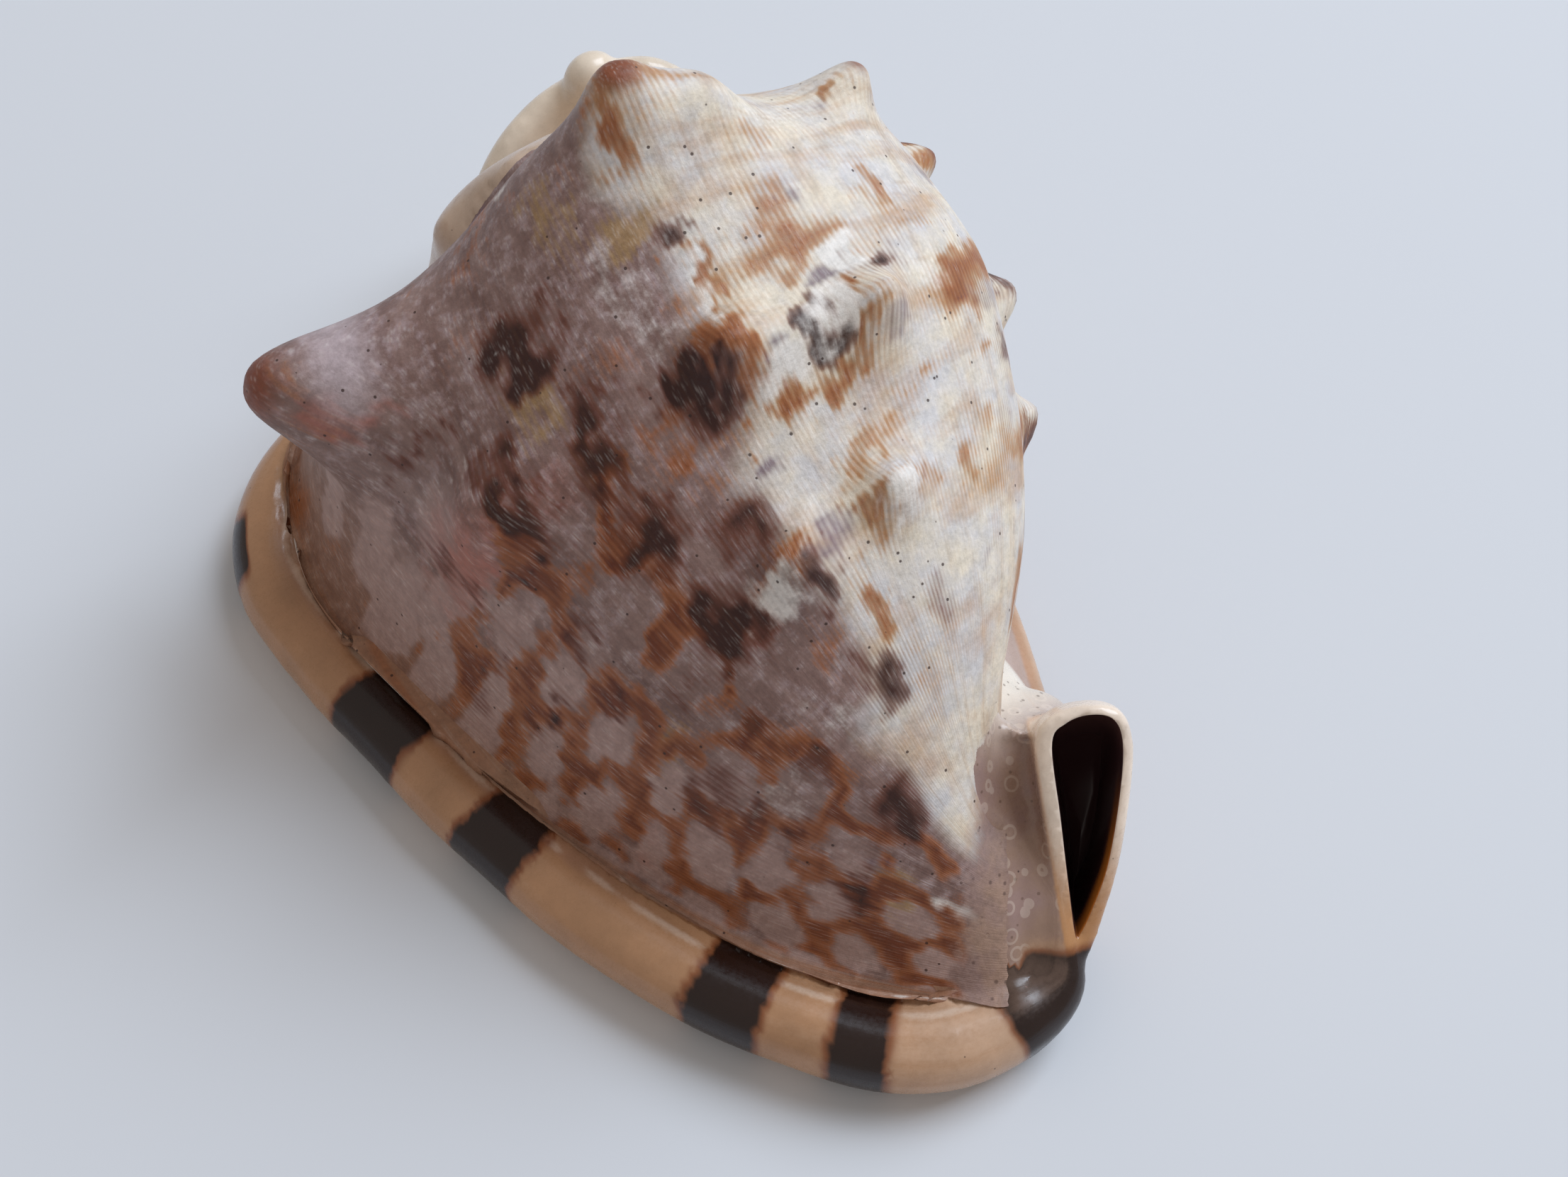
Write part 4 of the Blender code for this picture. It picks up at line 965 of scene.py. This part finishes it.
def makeBackMaterial():
    material, tree, shader = newMaterial("wornAragonite")
    look = {name: colour(code) for name, code in backLook.items()}
    fieldNames = {layer[0] for layer in backLayers} | {"growthAngle", "place", "cream", "neck", "neckPale"}
    read = {name: add(tree, "Attribute", out="Fac", attribute_name=name) for name in sorted(fieldNames)}
    spot = add(tree, "VectorMath", (add(tree, "TexCoord", out="Object"), (1000.0,) * 3),
               operation="MULTIPLY")
    ridges = calc(tree, "MULTIPLY_ADD", read["growthAngle"], -1 / whorl["ridgeStep"],
                  whorl["lipAngle"] / whorl["ridgeStep"])
    along = calc(tree, "MULTIPLY", read["place"], 34.0)
    onRidges = add(tree, "CombineXYZ", (ridges, along))     # one unit is a ridge, or 3.5 mm along it
    streak = noise(tree, onRidges, 1.1, 3.0, 0.6)
    wideStreak = noise(tree, onRidges, 0.25, 4.0, 0.6)
    fine = noise(tree, spot, 1.5, 5.0, 0.65)
    medium = noise(tree, spot, 0.45, 5.0, 0.6)
    coarse = noise(tree, spot, 0.13, 5.0, 0.6)
    # half in the groove, minus half on the crest
    crest = remap(tree, calc(tree, "PINGPONG", ridges, 0.5), 0.08, 0.42, 0.5, -0.5, smooth=True)
    breakUp = calc(tree, "MULTIPLY_ADD", fine, 0.4, -0.6)
    breakUp = calc(tree, "MULTIPLY_ADD", streak, 0.2, breakUp)
    breakUp = calc(tree, "MULTIPLY_ADD", medium, 0.6, breakUp)
    # the ground: mauve on the older side, cream towards the shield
    mauve = mix(tree, remap(tree, wideStreak, 0.35, 0.65, 0.0, 1.0), look["mauve"], look["mauveDeep"])
    mauve = mix(tree, remap(tree, medium, 0.48, 0.7, 0.0, 0.7), mauve, look["lilac"])
    pale = mix(tree, remap(tree, coarse, 0.38, 0.62, 0.0, 1.0), look["cream"], look["creamCool"])
    pale = mix(tree, remap(tree, wideStreak, 0.5, 0.75, 0.0, 0.45), pale, look["tan"])
    banded = add(tree, "CombineXYZ", (calc(tree, "MULTIPLY", ridges, 0.05), along))
    bands = noise(tree, banded, 0.75, 3.0, 0.55)
    bands = calc(tree, "MULTIPLY_ADD", crest, 0.03, bands)
    pale = mix(tree, remap(tree, bands, 0.48, 0.68, 0.0, 0.55), pale, look["hatch"])
    creamEdge = calc(tree, "MULTIPLY_ADD", coarse, 0.9, calc(tree, "SUBTRACT", read["cream"], 0.45))
    creamy = remap(tree, calc(tree, "MULTIPLY_ADD", wideStreak, 0.5, creamEdge), 0.4, 1.05, 0.0, 1.0,
                   smooth=True)
    base = mix(tree, creamy, mauve, pale)
    flangeStreak = calc(tree, "MULTIPLY", remap(tree, wideStreak, 0.48, 0.62, 0.0, 0.55), read["flange"])
    base = layColours(tree, base, backLayers, read, look, breakUp, crest)
    base = mix(tree, flangeStreak, base, look["rust"])
    # darker brown in the grooves, in patches; pale flecks where the crests are chipped, and pin holes
    darkerInGrooves = remap(tree, wideStreak, 0.42, 0.72, 0.0, 0.13)
    darkerInGrooves = calc(tree, "MULTIPLY", calc(tree, "ADD", crest, 0.5), darkerInGrooves)
    base = mix(tree, darkerInGrooves, base, look["groove"])
    flecks = add(tree, "TexVoronoi", {"Vector": onRidges, "Scale": 2.7}, out="Distance", feature="F1")
    flecks = remap(tree, flecks, 0.5, 0.1, 0.0, 1.0)
    flecks = calc(tree, "MULTIPLY", flecks, remap(tree, medium, 0.4, 0.65, 0.0, 0.2))
    base = mix(tree, flecks, base, look["bleached"])
    pins = add(tree, "TexVoronoi", {"Vector": spot, "Scale": 0.33}, out="Distance", feature="F1")
    pins = remap(tree, pins, 0.085, 0.055, 0.0, 0.85)
    base = mix(tree, pins, base, look["pin"])
    neck = mix(tree, remap(tree, coarse, 0.4, 0.6, 0.0, 1.0), look["neck"], look["mauve"])
    neck = mix(tree, read["neckPale"], neck, look["neckPale"])
    pores = add(tree, "TexVoronoi", {"Vector": spot, "Scale": 0.55}, out="Distance", feature="F1")
    pores = remap(tree, pores, 0.2, 0.1, 0.0, 0.6)
    neck = mix(tree, pores, neck, look["pin"])
    neckEdge = calc(tree, "MULTIPLY_ADD", breakUp, 1.2, read["neck"])
    neckEdge = remap(tree, neckEdge, 0.2, 0.9, 0.0, 0.95, smooth=True)
    base = mix(tree, neckEdge, base, neck)
    mottled = remap(tree, calc(tree, "ADD", fine, medium), 0.7, 1.3, 0.82, 1.18)
    base = add(tree, "HueSaturation", {"Value": mottled, "Color": base})
    tree.links.new(base, shader.inputs["Base Color"])
    rough = remap(tree, fine, 0.3, 0.7, 0.42, 0.62)
    tree.links.new(rough, shader.inputs["Roughness"])
    shader.inputs["IOR"].default_value = 1.53
    shader.inputs["Specular IOR Level"].default_value = 0.35
    height = calc(tree, "MULTIPLY_ADD", flecks, 0.35, calc(tree, "MULTIPLY", fine, 0.5))
    height = calc(tree, "MULTIPLY_ADD", streak, 0.35, height)
    height = calc(tree, "MULTIPLY_ADD", pins, -0.5, height)
    bump = add(tree, "Bump", {"Height": height, "Strength": 0.5, "Distance": 0.0004})
    tree.links.new(bump, shader.inputs["Normal"])
    return material


# Porcelain-like callus, laid down smooth by the animal: glossy, a little waxy, barred on the lip.
callusLook = {
    "tan": "#b08562", "tanPale": "#c9a78b", "bar": "#180a08", "barEdge": "#7d4422", "cream": "#e4d4bf",
    "shieldRim": "#b98a66", "shieldTop": "#b39d92", "white": "#f2e2d0", "neck": "#a18371",
    "neckPale": "#e9dfd0", "mauve": "#967b73", "spire": "#c6ae98", "stain": "#8a5a38",
    "spoutTan": "#c08c5e", "flange": "#a57c62", "pore": "#5c4636",
}
callusLayers = (
    ("spire", "spire", 0.0, 0.9, 1.0, 0.9, 0.0), ("spire", "stain", 0.95, 1.3, 0.5, 1.4, 0.0),
    ("lip", "tan", 0.0, 0.8, 1.0, 0.2, 0.0), ("lipPale", "tanPale", 0.0, 1.0, 0.9, 1.2, 0.0),
    ("flange", "flange", 0.1, 0.9, 0.8, 0.8, 0.0), ("shield", "shieldTop", 0.1, 0.9, 1.0, 0.3, 0.0),
    ("shieldRim", "shieldRim", 0.2, 0.8, 0.8, 0.4, 0.0), ("collar", "cream", 0.1, 0.8, 1.0, 0.2, 0.0),
    ("collar", "stain", 1.08, 1.35, 0.6, 1.5, 0.0),
    ("under", "tanPale", 0.2, 0.8, 1.0, 0.2, 0.0), ("spout", "spoutTan", 0.1, 0.7, 1.0, 0.2, 0.0),
    ("spoutPale", "white", 0.0, 1.0, 0.9, 0.4, 0.0), ("wornEdge", "white", 0.2, 1.0, 0.35, 0.9, 0.0),
    ("bar", "barEdge", 0.04, 0.4, 0.85, 0.2, 0.0), ("bar", "bar", 0.32, 0.68, 0.97, 0.2, 0.0),
    ("barWorn", "neck", 0.2, 1.2, 0.3, 1.4, 0.0),
)


def makeCallusMaterial():
    material, tree, shader = newMaterial("porcelainCallus")
    look = {name: colour(code) for name, code in callusLook.items()}
    fieldNames = {layer[0] for layer in callusLayers} | {"alongLip", "aroundLip", "neckPale"}
    read = {name: add(tree, "Attribute", out="Fac", attribute_name=name) for name in sorted(fieldNames)}
    spot = add(tree, "VectorMath", (add(tree, "TexCoord", out="Object"), (1000.0,) * 3),
               operation="MULTIPLY")
    fine = noise(tree, spot, 1.4, 4.0, 0.6)
    coarse = noise(tree, spot, 0.15, 4.0, 0.55)
    # streaks drawn out along the lip, 16 mm long and a few degrees wide
    drawnOut = add(tree, "CombineXYZ", (calc(tree, "MULTIPLY", read["alongLip"], 0.06),
                   calc(tree, "MULTIPLY", read["aroundLip"], 0.06)))
    streak = noise(tree, drawnOut, 1.0, 5.0, 0.6)
    breakUp = calc(tree, "MULTIPLY_ADD", fine, 0.3, -0.5)
    breakUp = calc(tree, "MULTIPLY_ADD", streak, 0.7, breakUp)
    base = mix(tree, remap(tree, coarse, 0.4, 0.6, 0.0, 1.0), look["neck"], look["mauve"])
    base = mix(tree, read["neckPale"], base, look["neckPale"])
    # pores and the rings that small barnacles leave on the neck
    pores = add(tree, "TexVoronoi", {"Vector": spot, "Scale": 0.55}, out="Distance", feature="F1")
    pores = remap(tree, pores, 0.16, 0.1, 0.0, 0.55)
    base = mix(tree, pores, base, look["pore"])
    rings = add(tree, "TexVoronoi", {"Vector": spot, "Scale": 0.3}, out="Distance", feature="F1")
    rings = remap(tree, calc(tree, "COMPARE", rings, 0.3, 0.05), 0.0, 1.0, 0.0, 0.2)
    base = mix(tree, rings, base, look["white"])
    base = layColours(tree, base, callusLayers, read, look, breakUp, fine)
    mottled = remap(tree, calc(tree, "MULTIPLY_ADD", fine, 0.12, coarse), 0.36, 0.76, 0.88, 1.12)
    base = add(tree, "HueSaturation", {"Value": mottled, "Color": base})
    pits = add(tree, "TexVoronoi", {"Vector": spot, "Scale": 0.25}, out="Distance", feature="F1")
    pits = remap(tree, pits, 0.045, 0.02, 0.0, 0.8)
    base = mix(tree, pits, base, look["bar"])
    tree.links.new(base, shader.inputs["Base Color"])
    tree.links.new(remap(tree, fine, 0.3, 0.7, 0.22, 0.36), shader.inputs["Roughness"])
    shader.inputs["IOR"].default_value = 1.53
    shader.inputs["Specular IOR Level"].default_value = 0.4
    shader.inputs["Coat Weight"].default_value = 0.15
    shader.inputs["Coat Roughness"].default_value = 0.15
    height = calc(tree, "MULTIPLY_ADD", streak, 0.6, calc(tree, "MULTIPLY", fine, 0.06))
    tree.links.new(add(tree, "Bump", {"Height": height, "Strength": 0.3, "Distance": 0.0003}),
                   shader.inputs["Normal"])
    return material


# Dark glaze inside the canal: liver brown, thinning to amber where light comes through the wall.
glazeLook = {"liver": "#432d2e", "liverPale": "#382324", "arch": "#6a4740", "amber": "#c8762e"}


def makeGlaze():
    material, tree, shader = newMaterial("liverGlaze")
    look = {name: colour(code) for name, code in glazeLook.items()}
    up, across, deep = (add(tree, "Attribute", out="Fac", attribute_name=name)
                        for name in ("spoutUp", "spoutAcross", "spoutBack"))
    spot = add(tree, "VectorMath", (add(tree, "TexCoord", out="Object"), (1000.0,) * 3),
               operation="MULTIPLY")
    coarse = noise(tree, spot, 0.25, 4.0)
    base = mix(tree, coarse, look["liver"], look["liverPale"])
    arch = remap(tree, up, 30.0, 37.0, 0.0, 0.7, smooth=True)
    base = mix(tree, arch, base, look["arch"])
    low = remap(tree, up, 31.0, 12.0, 0.0, 1.0, smooth=True)
    inward = calc(tree, "MULTIPLY_ADD", up, -0.26, across)     # about -0.4 on the right wall
    right = remap(tree, inward, -2.3, -0.9, 0.0, 1.0, smooth=True)
    amber = calc(tree, "MULTIPLY", low, right)
    atRim = remap(tree, deep, 1.0, 4.0, 1.0, 0.0, smooth=True)
    amber = calc(tree, "MULTIPLY", amber, atRim)
    base = mix(tree, amber, base, look["amber"])
    tree.links.new(base, shader.inputs["Base Color"])
    shader.inputs["Roughness"].default_value = 0.2
    shader.inputs["IOR"].default_value = 1.53
    return material


backPiece.data.materials.append(makeBackMaterial())
for material in (makeCallusMaterial(), makeGlaze()):
    callusPiece.data.materials.append(material)
callusPiece.data.polygons.foreach_set("material_index", [int(all(inPocket[v] for v in f.vertices))
                                                         for f in callusPiece.data.polygons])
print("materials made")

# Growth ridges, made by a node tree that follows the growth angle.
ridgeRelief = {
    "Ridge step": whorl["ridgeStep"], "Ridge depth": 0.00005, "Worn share": 0.7, "Pit depth": 0.00012,
}


def makeRidgeTree():
    tree = bpy.data.node_groups.new("growthRidges", "GeometryNodeTree")
    tree.interface.new_socket("Geometry", in_out="INPUT", socket_type="NodeSocketGeometry")
    for name, value in ridgeRelief.items():
        tree.interface.new_socket(name, in_out="INPUT", socket_type="NodeSocketFloat").default_value = value
    tree.interface.new_socket("Material", in_out="INPUT", socket_type="NodeSocketMaterial")
    tree.interface.new_socket("Geometry", in_out="OUTPUT", socket_type="NodeSocketGeometry")
    given = add(tree, "NodeGroupInput", out=None).outputs
    growthAngle, place, laid = (add(tree, "GeometryNodeInputNamedAttribute", (name,), data_type="FLOAT")
                                for name in ("growthAngle", "place", "laid"))
    fromLip = calc(tree, "SUBTRACT", whorl["lipAngle"], growthAngle)
    count = calc(tree, "DIVIDE", fromLip, given["Ridge step"])
    crest = calc(tree, "PINGPONG", count, 0.5)
    onRidges = add(tree, "CombineXYZ", (calc(tree, "MULTIPLY", count, 0.35),
                   calc(tree, "MULTIPLY", place, 14.0)))
    uneven = noise(tree, onRidges, 1.0, 2.0)
    spot = add(tree, "VectorMath", (add(tree, "GeometryNodeInputPosition"), (1000.0,) * 3),
               operation="MULTIPLY")
    wear = noise(tree, spot, 0.07, 3.0)
    kept = remap(tree, wear, 0.35, 0.6, calc(tree, "SUBTRACT", 1.0, given["Worn share"]), 1.0)
    height = calc(tree, "MULTIPLY_ADD", crest, 2.0, -1.0)
    height = calc(tree, "MULTIPLY", height, calc(tree, "ADD", uneven, 0.35))
    height = calc(tree, "MULTIPLY", height, kept)
    height = calc(tree, "MULTIPLY", height, given["Ridge depth"])
    pits = noise(tree, spot, 0.45, 3.0)
    pits = calc(tree, "MINIMUM", calc(tree, "MULTIPLY_ADD", pits, 3.0, -1.5), 0.0)
    height = calc(tree, "MULTIPLY_ADD", pits, given["Pit depth"], height)
    height = calc(tree, "MULTIPLY", height, laid)
    push = add(tree, "VectorMath", {0: add(tree, "GeometryNodeInputNormal"), "Scale": height},
               operation="SCALE")
    moved = add(tree, "GeometryNodeSetPosition", {"Geometry": given["Geometry"], "Offset": push})
    plain = add(tree, "GeometryNodeRealizeInstances", (moved,))
    dressed = add(tree, "GeometryNodeSetMaterial", {"Geometry": plain, "Material": given["Material"]})
    add(tree, "NodeGroupOutput", (dressed,), out=None)
    return tree


def giveTree(thing, tree, values):
    # The inputs are set by identifier before the object is first evaluated.
    step = thing.modifiers.new(tree.name, "NODES")
    step.node_group = tree
    for item in tree.interface.items_tree:
        if item.in_out == "INPUT" and item.name in values:
            step[item.identifier] = values[item.name]
    freeze(thing)


giveTree(backPiece, makeRidgeTree(), {**ridgeRelief, "Material": backPiece.data.materials[0]})


def keepInBox(piece):
    # The few tips that stand a hair out of the CAD box are worn back to it.
    spots = np.empty(len(piece.data.vertices) * 3)
    piece.data.vertices.foreach_get("co", spots)
    low, high = np.array(cadBox[0]) + (2e-5, 2e-5, 0), np.array(cadBox[1]) - 2e-5
    piece.data.vertices.foreach_set("co", np.clip(spots.reshape(-1, 3), low, high).ravel())
    piece.data.update()


keepInBox(backPiece)
keepInBox(callusPiece)
print("ridges made")

# Camera, floor and light.
back = Vector(viewBack)
camera = bpy.data.objects.new("camera", bpy.data.cameras.new("camera"))
scene.collection.objects.link(camera)
camera.location = Vector(toMetres(view["target"])) + back * view["distance"]
camera.rotation_euler = back.to_track_quat("Z", "Y").to_euler()
camera.data.lens = view["lens"]
camera.data.clip_start = 0.01
scene.camera = camera

studio = {
    "floorSize": (8.0, 8.0, 0.02), "floorMiddle": (0, 0, -0.01), "paper": "#d7dade", "paperRoughness": 0.9,
    "sky": "#f2e9e3", "skyStrength": 0.46,
    # place, size, power, colour
    "lights": {"window": ((1.75, 0.05, 1.95), 1.6, 64.0, "#e4f0ff")},
}
floor = addObject("floor", makeBox("floor", studio["floorSize"], studio["floorMiddle"]))
floorMaterial, floorTree, floorShader = newMaterial("matPaper")
floorShader.inputs["Base Color"].default_value = colour(studio["paper"])
floorShader.inputs["Roughness"].default_value = studio["paperRoughness"]
floor.data.materials.append(floorMaterial)
for piece in (callusPiece, backPiece):
    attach(piece, "root")
    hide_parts("helmet_shell")

for name, (place, size, power, tint) in studio["lights"].items():
    lamp = bpy.data.objects.new(name, bpy.data.lights.new(name, "AREA"))
    lamp.data.energy, lamp.data.size = power, size
    lamp.data.color = colour(tint)[:3]
    lamp.location = place
    lamp.rotation_euler = Vector(place).to_track_quat("Z", "Y").to_euler()
    scene.collection.objects.link(lamp)
world = bpy.data.worlds.new("studio")
scene.world = world
world.use_nodes = True
world.node_tree.nodes["Background"].inputs[0].default_value = colour(studio["sky"])
world.node_tree.nodes["Background"].inputs[1].default_value = studio["skyStrength"]
scene.view_settings.view_transform = "Standard"
